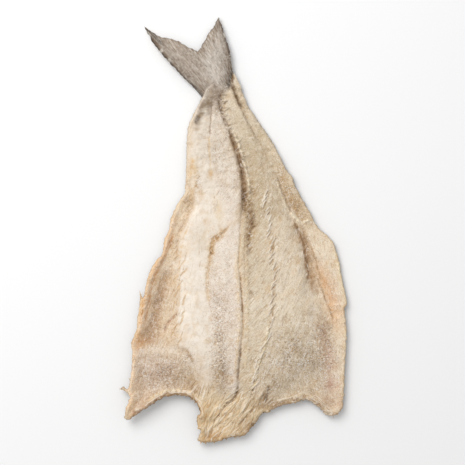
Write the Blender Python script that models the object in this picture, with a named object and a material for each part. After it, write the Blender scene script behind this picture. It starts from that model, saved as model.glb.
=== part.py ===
"""A split, salted and dried cod, lying with its cut side up and its tail towards +Y. Metres, +Z up.

It is one solid: two long loins beside the backbone's groove, thin belly flaps whose edges curl up, the
fibrous neck, and a twisted tail stalk that ends in a forked fin. A flat sheet of triangles fills the
outline; it is extruded once, and both faces then take their heights from the same few rules.
"""

import math
import random

import bmesh
import bpy
import numpy as np
from mathutils import Vector, noise
from mathutils.geometry import delaunay_2d_cdt

CM = 0.01
MM = 0.001
NAME = "salt_cod"
SEED = 7

# Sizes of the sheet of triangles
OUTLINE_STEP = 4.8 * MM
INNER_STEP = 8.0 * MM
INSET = 2.6 * MM
JITTER = 0.18
LEAST_SPACING = 0.62
LEAST_INSET = 0.8 * INSET
GROOVE_BANK = 2.8 * MM
FIN_BANK = 1.6 * MM
WELD = 1e-7

# Sizes of the fish. A table's rows are (y in centimetres, value in millimetres).
LOIN_LEFT_MM = [
    (22.5, 4), (20.5, 6), (19, 11), (17, 15), (13, 18), (5, 20), (-8, 25), (-17, 26), (-22, 23),
    (-25, 15), (-30, 9),
]
LOIN_RIGHT_MM = [
    (22.5, 3), (20.5, 6), (19, 10), (17, 14), (13, 17), (5, 20), (-8, 25), (-17, 25), (-22, 20),
    (-25, 14), (-30, 9),
]
FLAP_LEFT_MM = [(20, 6), (13, 10), (5, 9), (-2, 8), (-10, 6), (-15.5, 6), (-19, 9), (-26, 7)]
FLAP_RIGHT_MM = [(22.5, 3), (20, 7), (17, 10), (8, 11), (2, 10), (-4, 8), (-10, 7), (-18, 9), (-26, 7)]
GROOVE_DEPTH_MM = [
    (20.5, 0), (18.5, 3), (16, 6.5), (12, 9), (5, 9), (2, 6), (-1, 2.5), (-5, 3), (-14, 5.5),
    (-20, 5), (-24, 0),
]
GROOVE_WIDTH_MM = [(18, 2.2), (12, 3.4), (3, 3.4), (-1, 2.2), (-24, 2.2)]
STALK_LIFT_MM = [(14.5, 0), (18, 2.5), (20.5, 7), (25, 8), (31, 4)]
EDGE_LIFT_MM = [(19, 0), (10, 1.5), (3, 2.5), (-4, 5), (-12, 6), (-20, 7), (-26, 10), (-30, 7)]
FIN_THICKNESS = 2.4 * MM
RIM_THICKNESS = 1.6 * MM
EDGE_ROUND = 5.5 * MM
EDGE_LIFT_REACH = 32 * MM
CURL = 2.6 * MM
CURL_REACH = 6 * MM
LOIN_SHOULDER = 0.14
DOME_TOP = 0.45
DOME_FALL = 0.35
LUMP_HEIGHT = 0.7 * MM
LUMP_SIZE = 14 * MM
CURL_FROM = 8 * CM
CURL_TO = 16 * CM
FIN_FROM = 17 * CM
FIN_TO = 18 * CM
FIN_STEP_IN = 1.2 * MM
FIN_STEP_OUT = 1.8 * MM
FIN_WAVE = 1.3 * MM
FIN_WAVES = 5
FIN_WAVE_REACH = 6 * CM
RAGGED_HEAD = 1.1 * MM
RAGGED_SIDE = 0.4 * MM
RAGGED_SIZE = 5 * MM
HEAD_FROM = -24 * CM
HEAD_TO = -21 * CM

# Looks
FLESH_COLOUR = (0.72, 0.60, 0.45)
SKIN_COLOUR = (0.30, 0.26, 0.23)
FLESH_ROUGHNESS = 0.8
SKIN_ROUGHNESS = 0.65
FACING_DOWN = -0.3
SHARP_ANGLE = math.radians(50)

# The outline in centimetres from the middle of the fish's box, clockwise from the fin's left tip.
# Each stretch is one smooth line, and the corners are where one ends and the next starts.
OUTLINE = [
    [
        (-12.6, 28.8), (-11.7, 28.1), (-10.3, 27.3), (-8.9, 27.0), (-7.6, 26.6), (-6.5, 25.9),
        (-5.0, 25.2),
    ],
    [(-5.0, 25.2), (-4.5, 25.9), (-3.9, 26.9), (-3.5, 27.8), (-2.9, 28.5), (-2.0, 30.1)],
    [(-2.0, 30.1), (-1.0, 27.0), (-0.4, 24.8), (-0.1, 22.5)],
    [
        (-0.1, 22.5), (0.9, 20.7), (1.9, 18.0), (3.0, 16.2), (5.0, 13.3), (6.3, 11.1), (7.5, 8.6),
        (8.4, 7.4), (9.1, 5.6), (10.9, 2.5),
    ],
    [
        (10.9, 2.5), (12.0, 0.5), (13.2, -0.7), (14.3, -1.8), (14.7, -3.9), (15.5, -7.7),
        (16.1, -9.9), (16.0, -12.6), (16.1, -16.0), (15.9, -19.9), (15.7, -25.0),
    ],
    [
        (15.7, -25.0), (15.4, -25.8), (14.6, -26.2), (12.8, -26.3), (11.2, -24.8), (10.2, -24.4),
        (8.6, -24.8), (7.3, -24.8), (5.6, -25.6), (4.2, -25.8),
    ],
    [
        (4.2, -25.8), (3.4, -26.7), (3.0, -27.7), (1.7, -29.2), (-0.7, -29.4), (-2.0, -29.9),
        (-4.3, -30.0), (-5.0, -29.6), (-4.6, -28.3), (-5.2, -27.0), (-4.7, -25.6), (-5.1, -24.4),
    ],
    [
        (-5.1, -24.4), (-6.1, -23.7), (-7.6, -23.4), (-9.9, -23.7), (-12.1, -25.1), (-14.4, -26.6),
        (-15.0, -26.8),
    ],
    [(-15.0, -26.8), (-15.3, -26.4), (-15.1, -25.1), (-14.6, -23.7), (-14.8, -23.1)],
    [(-14.8, -23.1), (-15.4, -22.7), (-16.1, -22.5)],
    [
        (-16.1, -22.5), (-15.5, -22.2), (-14.8, -22.3), (-14.4, -20.1), (-14.2, -17.2),
        (-14.4, -16.0), (-13.7, -14.3), (-13.5, -12.6), (-13.2, -10.3), (-13.2, -8.6),
    ],
    [
        (-13.2, -8.6), (-12.7, -9.7), (-12.4, -8.4), (-11.8, -6.0), (-10.8, -4.3), (-10.0, -3.3),
        (-9.7, -1.3), (-9.1, -0.2), (-8.8, 1.6), (-7.8, 3.8), (-6.8, 5.2),
    ],
    [(-6.8, 5.2), (-6.6, 9.1), (-6.5, 13.2), (-6.1, 15.3), (-4.4, 18.7)],
    [(-4.4, 18.7), (-5.0, 19.6), (-7.3, 21.8), (-10.3, 25.1), (-11.3, 26.4), (-12.6, 28.8)],
]

# Lines on the cut side, in centimetres, each from the tail to the neck.
BACKBONE = [
    (-2.1, 20.5), (-1.9, 18.6), (-1.5, 16.2), (-0.4, 13.6), (0.3, 11.4), (1.0, 8.1), (1.3, 4.2),
    (1.1, 0.5), (0.8, -4.3), (1.1, -8.5), (1.2, -13.4), (1.0, -18.9), (0.7, -21.8), (-1.0, -25.1),
    (-3.0, -29.9),
]
LOIN_EDGE_LEFT = [
    (-3.8, 20.5), (-5.7, 14.8), (-6.2, 11.2), (-6.1, 7.0), (-5.3, 3.5), (-6.2, 1.4), (-7.5, -1.9),
    (-7.6, -7.1), (-7.8, -11.3), (-7.9, -15.6), (-6.7, -17.8), (-5.6, -20.5), (-5.2, -30.0),
]
LOIN_EDGE_RIGHT = [
    (0.1, 20.5), (1.2, 17.2), (2.8, 13.4), (4.5, 10.4), (6.6, 6.0), (8.2, 1.5), (9.3, -0.5),
    (10.1, -3.4), (10.4, -7.5), (11.3, -10.6), (11.7, -14.1), (11.1, -18.4), (8.0, -21.9),
    (4.2, -25.0), (3.0, -30.0),
]
FIN_BASE = [
    (-5.4, 17.5), (-4.4, 18.7), (-3.8, 19.6), (-2.9, 20.6), (-1.9, 20.3), (-0.9, 20.4), (-0.4, 21.0),
    (0.0, 22.4), (0.3, 23.4),
]
FIN_ROOT = (-2.0, 19.2)

# Raised and sunken lines: name, half width and height in millimetres, then the points in centimetres.
FOLDS = {
    "spine_ridge": (3.0, 3.0, [(0.8, 11.3), (1.3, 9.9), (1.8, 8.6), (2.2, 6.6), (2.3, 4.2)]),
    "strip_groove": (2.6, -3.2, [
        (0.4, 19.4), (1.2, 17.1), (2.2, 14.6), (3.5, 12.1), (5.5, 8.4), (6.9, 4.8), (8.2, 1.4),
    ]),
    "flap_hollow_right": (3.5, -3.0, [
        (8.2, 1.4), (9.3, -0.5), (10.1, -3.5), (10.4, -7.6), (11.3, -10.6),
    ]),
    "flap_crease_right": (2.6, -1.5, [(12.0, -7.4), (12.7, -9.7), (13.8, -11.7), (14.4, -13.2)]),
    "flap_hollow_left": (3.5, -2.0, [
        (-5.6, 3.5), (-6.7, 1.4), (-8.1, -1.9), (-8.3, -7.1), (-8.4, -11.3), (-8.6, -14.8),
    ]),
    "seam_left": (2.4, -1.4, [
        (-0.8, 0.5), (-1.9, -1.1), (-3.0, -2.1), (-3.4, -5.0), (-3.6, -8.0), (-3.1, -13.5),
        (-1.9, -16.3), (-1.3, -19.5),
    ]),
    "seam_right": (2.4, -1.2, [
        (4.6, 3.1), (5.3, 0.5), (5.7, -4.5), (5.6, -11.2), (4.4, -16.6), (2.8, -21.8),
    ]),
    "stalk_crease": (2.0, -1.8, [(-0.1, 22.3), (-0.4, 21.1), (-1.4, 19.6), (-1.9, 18.3)]),
    "stalk_fold": (2.4, 1.6, [(-4.4, 18.6), (-3.8, 19.5), (-2.9, 20.5)]),
    "membrane_edge": (3.4, 2.0, [
        (-14.3, -18.9), (-12.7, -17.5), (-10.8, -16.9), (-8.6, -17.1), (-6.9, -17.5),
    ]),
    "strand_outer_right": (2.8, 2.4, [(4.5, -22.4), (3.8, -23.9), (2.6, -27.1), (0.7, -28.8)]),
    "strand_right": (2.8, 2.4, [(3.0, -21.4), (2.2, -23.9), (0.6, -26.8), (-0.8, -28.7)]),
    "strand_middle": (2.8, 2.2, [(1.6, -22.2), (-0.3, -24.6), (-2.0, -27.0), (-3.1, -29.2)]),
    "strand_left": (2.8, 2.2, [(0.2, -23.4), (-1.8, -25.6), (-3.2, -27.7), (-4.3, -29.4)]),
    "head_edge_left": (3.4, 2.4, [
        (-12.6, -24.9), (-10.2, -23.1), (-8.2, -22.9), (-6.0, -22.9), (-4.5, -24.2),
    ]),
    "neck_gap": (4.5, -5.0, [(5.4, -22.6), (5.0, -24.2), (4.6, -25.4)]),
}


def metres(points):
    """Rows of (x, y) in centimetres as an array in metres."""
    return np.array(points, float) * CM


def smooth_line(points, step):
    """A Catmull-Rom curve through the points, read off every step of its length, ends included."""
    ends = [2 * points[0] - points[1], *points, 2 * points[-1] - points[-2]]
    fine = []
    for a, b, c, d in zip(ends, ends[1:], ends[2:], ends[3:]):
        for t in np.linspace(0, 1, 12, endpoint=False):
            slope, bend, twist = c - a, 2 * a - 5 * b + 4 * c - d, 3 * b - a - 3 * c + d
            fine.append(0.5 * (2 * b + slope * t + bend * t**2 + twist * t**3))
    fine = np.array([*fine, points[-1]])
    run = np.concatenate([[0], np.cumsum(np.linalg.norm(np.diff(fine, axis=0), axis=1))])
    marks = np.linspace(0, run[-1], max(2, round(run[-1] / step) + 1))
    return np.column_stack([np.interp(marks, run, fine[:, axis]) for axis in (0, 1)])


def to_line(points, line):
    """Each point's distance from a line, and its side: +1 on the right of the line's direction."""
    start, step = line[:-1], np.diff(line, axis=0)
    reach = points[:, None, :] - start
    share = np.clip((reach * step).sum(2) / (step**2).sum(1), 0, 1)
    away = reach - share[..., None] * step
    squared = (away**2).sum(2)
    nearest = squared.argmin(1)
    rows = np.arange(len(points))
    cross = step[nearest, 1] * away[rows, nearest, 0] - step[nearest, 0] * away[rows, nearest, 1]
    return np.sqrt(squared[rows, nearest]), np.where(cross > 0, 1.0, -1.0)


def ease(low, high, value):
    """0 below low, 1 above high, and a smooth step between them."""
    share = np.clip((value - low) / (high - low), 0, 1)
    return share * share * (3 - 2 * share)


def along_y(table, y):
    """A table's millimetres at each y, in metres."""
    rows = sorted(table)
    return np.interp(y, [row[0] * CM for row in rows], [row[1] * MM for row in rows])


def line_x(line, y):
    """A line's x at each y."""
    rows = metres(line)[::-1]
    return np.interp(y, rows[:, 1], rows[:, 0])


def lumps(points, size, seed):
    """Gentle noise, one value for each point, from -1 to 1."""
    return np.array([noise.noise(Vector((x / size, y / size, seed))) for x, y in points])


def outline_points():
    """The closed outline, with the torn look of the head end and the small waves of the cut edges."""
    ring = np.concatenate([smooth_line(metres(stretch), OUTLINE_STEP)[:-1] for stretch in OUTLINE])
    along = np.roll(ring, -1, axis=0) - np.roll(ring, 1, axis=0)
    outward = np.column_stack([-along[:, 1], along[:, 0]]) / np.linalg.norm(along, axis=1)[:, None]
    head = 1 - ease(HEAD_FROM, HEAD_TO, ring[:, 1])
    ragged = RAGGED_SIDE + (RAGGED_HEAD - RAGGED_SIDE) * head
    ring = ring + outward * (ragged * lumps(ring, RAGGED_SIZE, SEED))[:, None]
    return ring - (ring.min(0) + ring.max(0)) / 2


def inside(points, ring):
    """Whether each point is inside the closed ring: its ray to the right crosses an odd number of edges."""
    x, y = points[:, 0, None], points[:, 1, None]
    a, b = ring, np.roll(ring, -1, axis=0)
    spans = (a[:, 1] > y) != (b[:, 1] > y)
    rise = np.where(a[:, 1] == b[:, 1], 1, b[:, 1] - a[:, 1])
    crossing = a[:, 0] + (y - a[:, 1]) * (b[:, 0] - a[:, 0]) / rise
    return (spans & (x < crossing)).sum(1) % 2 == 1


def beside(line, offset):
    """A line's points moved sideways by offset, to its left where that is positive."""
    along = np.gradient(line, axis=0)
    normal = np.column_stack([-along[:, 1], along[:, 0]]) / np.linalg.norm(along, axis=1)[:, None]
    return line + normal * offset


def inner_points(ring):
    """Points inside the outline: along its edge, along the folds and their banks, then a field."""
    random.seed(SEED)
    closed_ring = np.vstack([ring, ring[:1]])
    wanted = [beside(closed_ring, -INSET)[:-1]]
    for half_width, _, points in FOLDS.values():
        line = smooth_line(metres(points), OUTLINE_STEP)
        wanted += [line, beside(line, half_width * MM), beside(line, -half_width * MM)]
    groove = smooth_line(metres(BACKBONE), OUTLINE_STEP)
    wanted += [groove, beside(groove, GROOVE_BANK), beside(groove, -GROOVE_BANK)]
    fin_base = smooth_line(metres(FIN_BASE), OUTLINE_STEP)
    wanted += [beside(fin_base, -FIN_BANK), beside(fin_base, FIN_BANK)]
    low, high = ring.min(0), ring.max(0)
    row_step = INNER_STEP * math.sqrt(3) / 2
    field = []
    for row in range(int((high[1] - low[1]) / row_step) + 1):
        for column in range(int((high[0] - low[0]) / INNER_STEP) + 1):
            x = low[0] + (column + 0.5 * (row % 2) + random.uniform(-JITTER, JITTER)) * INNER_STEP
            y = low[1] + (row + random.uniform(-JITTER, JITTER)) * row_step
            field.append((x, y))
    wanted.append(np.array(field))
    kept = np.empty((0, 2))
    for group, spacing in zip(wanted, [OUTLINE_STEP] * (len(wanted) - 1) + [INNER_STEP]):
        group = group[inside(group, ring)]
        group = group[to_line(group, closed_ring)[0] > LEAST_INSET]
        for point in group:
            if not len(kept) or np.linalg.norm(kept - point, axis=1).min() > LEAST_SPACING * spacing:
                kept = np.vstack([kept, point])
    return kept


def fin_share(points):
    """1 on the tail fin, 0 on the body, with a short step between them along the fin's base."""
    distance, side = to_line(points, smooth_line(metres(FIN_BASE), OUTLINE_STEP))
    near_tail = ease(FIN_FROM, FIN_TO, points[:, 1])
    return ease(-FIN_STEP_OUT, FIN_STEP_IN, -distance * side) * near_tail


def body_thickness(points):
    """The thickness of the flesh: the loins' domes, the flaps beside them and the groove between them."""
    x, y = points.T
    middle = line_x(BACKBONE, y)
    on_left = x < middle
    edge = np.where(on_left, line_x(LOIN_EDGE_LEFT, y), line_x(LOIN_EDGE_RIGHT, y))
    share = (x - middle) / (edge - middle)
    loin = np.where(on_left, along_y(LOIN_LEFT_MM, y), along_y(LOIN_RIGHT_MM, y))
    flap = np.where(on_left, along_y(FLAP_LEFT_MM, y), along_y(FLAP_RIGHT_MM, y))
    dome = 1 - DOME_FALL * (share - DOME_TOP) ** 2
    thick = flap + (loin * dome - flap) * (1 - ease(1 - LOIN_SHOULDER, 1 + LOIN_SHOULDER, share))
    distance, _ = to_line(points, smooth_line(metres(BACKBONE), OUTLINE_STEP))
    groove = np.exp(-((distance / along_y(GROOVE_WIDTH_MM, y)) ** 2))
    return thick - along_y(GROOVE_DEPTH_MM, y) * groove


def folded(points):
    """The height that the raised and sunken lines add."""
    total = np.zeros(len(points))
    for half_width, height, line in FOLDS.values():
        distance, _ = to_line(points, smooth_line(metres(line), OUTLINE_STEP))
        total += height * MM * np.exp(-((distance / (half_width * MM)) ** 2))
    return total


def heights(points, ring):
    """The underside's and the cut side's height at each point."""
    from_edge, _ = to_line(points, np.vstack([ring, ring[:1]]))
    y = points[:, 1]
    near_edge = 1 - ease(0, EDGE_LIFT_REACH, from_edge)
    under = along_y(STALK_LIFT_MM, y) + along_y(EDGE_LIFT_MM, y) * near_edge**2
    fin = fin_share(points)
    spread = np.arctan2(points[:, 0] - FIN_ROOT[0] * CM, y - FIN_ROOT[1] * CM)
    out_from_root = np.linalg.norm(points - metres(FIN_ROOT), axis=1)
    under += fin * FIN_WAVE * np.sin(FIN_WAVES * spread) * ease(0, FIN_WAVE_REACH, out_from_root)
    curl = CURL * np.exp(-((from_edge / CURL_REACH) ** 2)) * (1 - ease(CURL_FROM, CURL_TO, y))
    flesh = body_thickness(points) + folded(points) + LUMP_HEIGHT * lumps(points, LUMP_SIZE, SEED + 1)
    thick = np.maximum((1 - fin) * flesh + fin * FIN_THICKNESS, RIM_THICKNESS)
    rounding = np.sqrt(1 - (1 - np.clip(from_edge / EDGE_ROUND, 0, 1)) ** 2)
    under = np.where(from_edge < EDGE_LIFT_REACH, under + curl * (1 - fin), under)
    return under, under + RIM_THICKNESS + (thick - RIM_THICKNESS) * rounding


def flat_sheet(ring):
    """A bmesh of triangles that fills the outline, lying at z = 0 and facing down."""
    inner = inner_points(ring)
    corners = [Vector(point) for point in np.vstack([ring, inner])]
    loop = list(range(len(ring)))
    points, _, faces, *_ = delaunay_2d_cdt(corners, [], [loop], 1, WELD)
    mesh = bmesh.new()
    verts = [mesh.verts.new((point.x, point.y, 0)) for point in points]
    for face in faces:
        mesh.faces.new([verts[index] for index in face])
    bmesh.ops.recalc_face_normals(mesh, faces=mesh.faces)
    if sum(face.normal.z for face in mesh.faces) > 0:
        bmesh.ops.reverse_faces(mesh, faces=mesh.faces)
    return mesh


def split_cod(ring):
    """The whole fish: the sheet extruded into two faces and a rim, then lifted to its heights."""
    mesh = flat_sheet(ring)
    lower = list(mesh.verts)
    made = bmesh.ops.extrude_face_region(mesh, geom=mesh.faces[:], use_keep_orig=True)
    upper = [item for item in made["geom"] if isinstance(item, bmesh.types.BMVert)]
    for verts, face in ((lower, 0), (upper, 1)):
        found = heights(np.array([vert.co[:2] for vert in verts]), ring)[face]
        for vert, height in zip(verts, found):
            vert.co.z = height
    bmesh.ops.recalc_face_normals(mesh, faces=mesh.faces)
    data = bpy.data.meshes.new(NAME)
    mesh.to_mesh(data)
    mesh.free()
    return data


def principled(name, colour, roughness):
    """A plain material of one colour, which is dull and not metallic."""
    material = bpy.data.materials.new(name)
    material.use_nodes = True
    shader = material.node_tree.nodes["Principled BSDF"]
    shader.inputs["Base Color"].default_value = (*colour, 1)
    shader.inputs["Roughness"].default_value = roughness
    shader.inputs["Metallic"].default_value = 0
    return material


def paint(data):
    """Cream flesh on the cut side, and grey skin on the fin and the underside."""
    data.materials.append(principled("dried_flesh", FLESH_COLOUR, FLESH_ROUGHNESS))
    data.materials.append(principled("grey_skin", SKIN_COLOUR, SKIN_ROUGHNESS))
    centres = np.array([face.center[:2] for face in data.polygons])
    fin = fin_share(centres) > 0.5
    for face, on_fin in zip(data.polygons, fin):
        face.material_index = int(on_fin or face.normal.z < FACING_DOWN)


def clear_scene():
    for item in list(bpy.data.objects):
        bpy.data.objects.remove(item)


def main():
    clear_scene()
    collection = bpy.data.collections.new("dried_cod")
    bpy.context.scene.collection.children.link(collection)
    data = split_cod(outline_points())
    paint(data)
    data.shade_smooth()
    data.set_sharp_from_angle(angle=SHARP_ANGLE)
    collection.objects.link(bpy.data.objects.new(NAME, data))


main()
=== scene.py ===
# %% [markdown]
# # A split salt cod
# Salt cod is a fish that is cut open along its belly, laid open like a book, salted and dried. A plain
# solid of it already has the right size and the main forms. This lesson dresses that solid: we lay one
# detailed skin over it, paint it, and then grow the small things that repeat, such as fin rays, muscle
# fibres and salt grains.

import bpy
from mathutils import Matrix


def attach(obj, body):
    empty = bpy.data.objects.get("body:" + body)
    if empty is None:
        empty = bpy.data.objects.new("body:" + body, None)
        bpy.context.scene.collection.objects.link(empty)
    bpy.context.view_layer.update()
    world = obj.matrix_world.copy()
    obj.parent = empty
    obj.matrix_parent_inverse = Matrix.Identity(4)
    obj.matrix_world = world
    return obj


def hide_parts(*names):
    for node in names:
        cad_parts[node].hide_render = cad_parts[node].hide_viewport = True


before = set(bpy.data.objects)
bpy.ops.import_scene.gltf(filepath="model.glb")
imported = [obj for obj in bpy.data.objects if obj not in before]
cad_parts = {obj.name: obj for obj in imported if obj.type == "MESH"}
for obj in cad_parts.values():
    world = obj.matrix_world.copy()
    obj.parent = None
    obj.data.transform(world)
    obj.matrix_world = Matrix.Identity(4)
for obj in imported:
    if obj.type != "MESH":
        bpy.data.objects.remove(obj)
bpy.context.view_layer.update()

# %% Modules and units
import math

import bpy
import numpy as np
from mathutils import Vector
from mathutils.bvhtree import BVHTree
from mathutils.geometry import delaunay_2d_cdt

CM = 0.01
MM = 0.001
BODY = "root"
NODE = "salt_cod"
SEED = 7

# %% [markdown]
# ## Camera and light
# The fish lies flat and the photographer stood right above it, so the camera looks straight down through a
# long lens. The light is a wide soft lamp from the upper left and a bright even sky, as in a studio with
# white walls. The lamp makes the relief readable and the sky keeps the shadows pale.

# %% Camera
FIELD = 65.6 * CM
CAMERA_HEIGHT = 2.4
FISH_MIDDLE = 1.2 * CM
AIM = (-0.10 * CM, -0.39 * CM)
SENSOR_MM = 36.0

camera = bpy.data.objects.new("camera", bpy.data.cameras.new("camera"))
camera.data.sensor_width = SENSOR_MM
camera.data.lens = SENSOR_MM * (CAMERA_HEIGHT - FISH_MIDDLE) / FIELD
camera.location = (*AIM, CAMERA_HEIGHT)
bpy.context.scene.collection.objects.link(camera)
bpy.context.scene.camera = camera
print("lens", round(camera.data.lens, 1), "mm")

# %% Light
SKY = 0.60
KEY_POWER = 35.5
KEY_SIZE = 1.5
KEY_FROM = (-1.0, 1.1, 1.85)

world = bpy.data.worlds.new("studio")
world.use_nodes = True
world.node_tree.nodes["Background"].inputs["Color"].default_value = (1, 1, 1, 1)
world.node_tree.nodes["Background"].inputs["Strength"].default_value = SKY
bpy.context.scene.world = world
bpy.context.scene.view_settings.view_transform = "Standard"

key = bpy.data.objects.new("key", bpy.data.lights.new("key", "AREA"))
key.data.energy = KEY_POWER
key.data.size = KEY_SIZE
key.location = KEY_FROM
key.rotation_euler = (-Vector(KEY_FROM)).to_track_quat("-Z", "Y").to_euler()
bpy.context.scene.collection.objects.link(key)

# %% [markdown]
# ## Node graphs as Python
# Materials and Geometry Nodes are both graphs of nodes. One small class wraps a node's output and overloads
# + - and *, so that a mask is written as an expression. Any other node comes from one method, which takes
# the node's type, its settings and what goes into its sockets.

# %% Value and Graph
class Value:
    """What comes out of a node. Arithmetic on it adds Math nodes."""

    def __init__(self, graph, socket):
        self.graph = graph
        self.socket = socket

    def __add__(self, other):
        return self.graph.maths("ADD", self, other)

    def __radd__(self, other):
        return self.graph.maths("ADD", other, self)

    def __sub__(self, other):
        return self.graph.maths("SUBTRACT", self, other)

    def __rsub__(self, other):
        return self.graph.maths("SUBTRACT", other, self)

    def __mul__(self, other):
        return self.graph.maths("MULTIPLY", self, other)

    def __rmul__(self, other):
        return self.graph.maths("MULTIPLY", other, self)

    def ramp(self, low, high):
        """0 at low and 1 at high, smooth between them. Low may be the larger one."""
        settings = {"interpolation_type": "SMOOTHSTEP"}
        return self.graph.node("ShaderNodeMapRange", settings, [self, low, high, 0.0, 1.0])


class Graph:
    """A node tree that is written in Python."""

    def __init__(self, tree):
        self.tree = tree

    def put(self, socket, value):
        if isinstance(value, Value):
            self.tree.links.new(value.socket, socket)
        elif socket.type == "RGBA" and len(value) == 3:
            socket.default_value = (*value, 1.0)
        else:
            socket.default_value = value

    def node(self, kind, settings=None, inputs=(), output=0):
        made = self.tree.nodes.new(kind)
        for name, value in (settings or {}).items():
            setattr(made, name, value)
        for socket, value in inputs.items() if isinstance(inputs, dict) else enumerate(inputs):
            self.put(made.inputs[socket], value)
        return Value(self, made.outputs[output])

    def maths(self, operation, first, second):
        return self.node("ShaderNodeMath", {"operation": operation}, [first, second])

    def others(self, value, *names):
        """More outputs of the node that a value comes from."""
        return [Value(self, value.socket.node.outputs[name]) for name in names]


CLEFT_SIZE = 5 * MM
CLEFT_STRETCH = 4.0
CLEFT_WIDTH = 0.0012


class Finish(Graph):
    """The graph of a material."""

    def __init__(self, name):
        self.material = bpy.data.materials.new(name)
        self.material.use_nodes = True
        super().__init__(self.material.node_tree)
        self.shader = self.tree.nodes["Principled BSDF"]

    def attribute(self, name, output="Fac"):
        return self.node("ShaderNodeAttribute", {"attribute_name": name}, output=output)

    def place(self, angle=0.0, stretch=1.0):
        """Object coordinates, turned so that fibres at that angle run along X, and drawn out along them."""
        turned = self.node(
            "ShaderNodeVectorRotate",
            {"rotation_type": "Z_AXIS"},
            {"Vector": self.node("ShaderNodeTexCoord", output="Object"), "Angle": -math.radians(angle)},
        )
        return self.node("ShaderNodeVectorMath", {"operation": "MULTIPLY"}, [turned, (1 / stretch, 1, 1)])

    def noise(self, size, place=None, detail=2.0):
        """Noise with bumps about that many metres across, from 0 to 1."""
        where = place or self.node("ShaderNodeTexCoord", output="Object")
        return self.node("ShaderNodeTexNoise", {}, {"Vector": where, "Scale": 1 / size, "Detail": detail})

    def clefts(self, angle):
        """Thin broken lines that run along that angle: 1 on a line and 0 beside it."""
        broad = self.noise(CLEFT_SIZE, self.place(angle, CLEFT_STRETCH), detail=1.0) - 0.5
        return (broad * broad).ramp(CLEFT_WIDTH, 0.0)

    def mix(self, factor, first, second, blend="MIX"):
        settings = {"data_type": "RGBA", "blend_type": blend, "clamp_factor": True}
        return self.node("ShaderNodeMix", settings, {0: factor, 6: first, 7: second}, output=2)

    def stained(self, colour, amount, tint):
        """The colour, darkened by a tint."""
        return self.mix(amount, colour, srgb(*tint), "MULTIPLY")

    def dusted(self, colour, amount, tint):
        """The colour, covered by a tint."""
        return self.mix(amount, colour, srgb(*tint))

    def bump(self, height, distance, strength=1.0):
        return self.node("ShaderNodeBump", {}, {"Height": height, "Distance": distance, "Strength": strength})

    def done(self, sockets):
        for name, value in sockets.items():
            self.put(self.shader.inputs[name], value)
        return self.material


def srgb(red, green, blue):
    """A colour as a screen shows it, 0 to 255, as the linear values that Blender mixes."""
    shares = [channel / 255 for channel in (red, green, blue)]
    return tuple(c / 12.92 if c <= 0.04045 else ((c + 0.055) / 1.055) ** 2.4 for c in shares)


# %% [markdown]
# ## The floor
# A wide, matt, almost white sheet. It isn't part of the fish.

# %% Floor
FLOOR_SIZE = 12.0
FLOOR_WHITE = (0.93, 0.93, 0.93)
FLOOR_SHADE = (0.915, 0.915, 0.915)

paper = Finish("floor_paper")
floor_colour = paper.mix(paper.noise(0.4), FLOOR_WHITE, FLOOR_SHADE)
bpy.ops.mesh.primitive_plane_add(size=FLOOR_SIZE)
floor = bpy.context.object
floor.name = "floor"
floor.data.materials.append(paper.done({"Base Color": floor_colour, "Roughness": 0.9}))

# %% [markdown]
# ## Lines on paper
# Everything on the fish is drawn as lines first: its outline, the groove where the backbone was cut out,
# and the folds. Each is a handful of points in centimetres, measured from the middle of the fish, and a
# smooth curve runs through them.

# %% Curve helpers
FINE = 16


def metres(points):
    return np.array(points, float) * CM


def smooth_line(points, step):
    """A Catmull-Rom curve through the points, read off every step of its length, ends included."""
    ends = [2 * points[0] - points[1], *points, 2 * points[-1] - points[-2]]
    fine = []
    for a, b, c, d in zip(ends, ends[1:], ends[2:], ends[3:]):
        for t in np.linspace(0, 1, FINE, endpoint=False):
            straight = 2 * b + (c - a) * t
            bent = straight + (2 * a - 5 * b + 4 * c - d) * t**2
            fine.append(0.5 * (bent + (3 * b - a - 3 * c + d) * t**3))
    fine = np.array([*fine, points[-1]])
    run = np.concatenate([[0], np.cumsum(np.linalg.norm(np.diff(fine, axis=0), axis=1))])
    marks = np.linspace(0, run[-1], max(2, round(run[-1] / step) + 1))
    return np.column_stack([np.interp(marks, run, fine[:, axis]) for axis in (0, 1)])


def ease(low, high, value):
    """0 below low, 1 above high, and a smooth step between them."""
    share = np.clip((value - low) / (high - low), 0, 1)
    return share * share * (3 - 2 * share)


def along_y(table, y):
    """A table of (y in cm, value) read at each y."""
    rows = sorted(table)
    return np.interp(y, [row[0] * CM for row in rows], [row[1] for row in rows])


def line_x(line, y):
    """A line's x at each y."""
    rows = metres(line)[::-1]
    return np.interp(y, rows[:, 1], rows[:, 0])


# %% [markdown]
# ## Noise
# Dried flesh is uneven at every scale. This is gradient noise on a grid, written with numpy so that a
# hundred thousand points get their value at once. Stretched and turned, the same noise makes fibres, and
# where it passes through zero it makes thin creases.

# %% Noise helpers
def noise_at(points, size, seed):
    """Smooth noise from about -1 to 1, with bumps of that size: one number, or two for stretched bumps."""
    scaled = points / np.array(size)
    cell = np.floor(scaled).astype(np.int64)
    inner = scaled - cell
    fade = inner**3 * (inner * (inner * 6 - 15) + 10)
    corners = []
    for dx in (0, 1):
        for dy in (0, 1):
            mixed = (cell[:, 0] + dx) * 374761393 + (cell[:, 1] + dy) * 668265263 + (seed + 1) * 974634777
            mixed = (mixed ^ (mixed >> 13)) * 1274126177
            angle = ((mixed ^ (mixed >> 16)) & 0xFFFF) / 0xFFFF * math.tau
            corners.append(np.cos(angle) * (inner[:, 0] - dx) + np.sin(angle) * (inner[:, 1] - dy))
    near = corners[0] + (corners[1] - corners[0]) * fade[:, 1]
    far = corners[2] + (corners[3] - corners[2]) * fade[:, 1]
    return 1.6 * (near + (far - near) * fade[:, 0])


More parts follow.
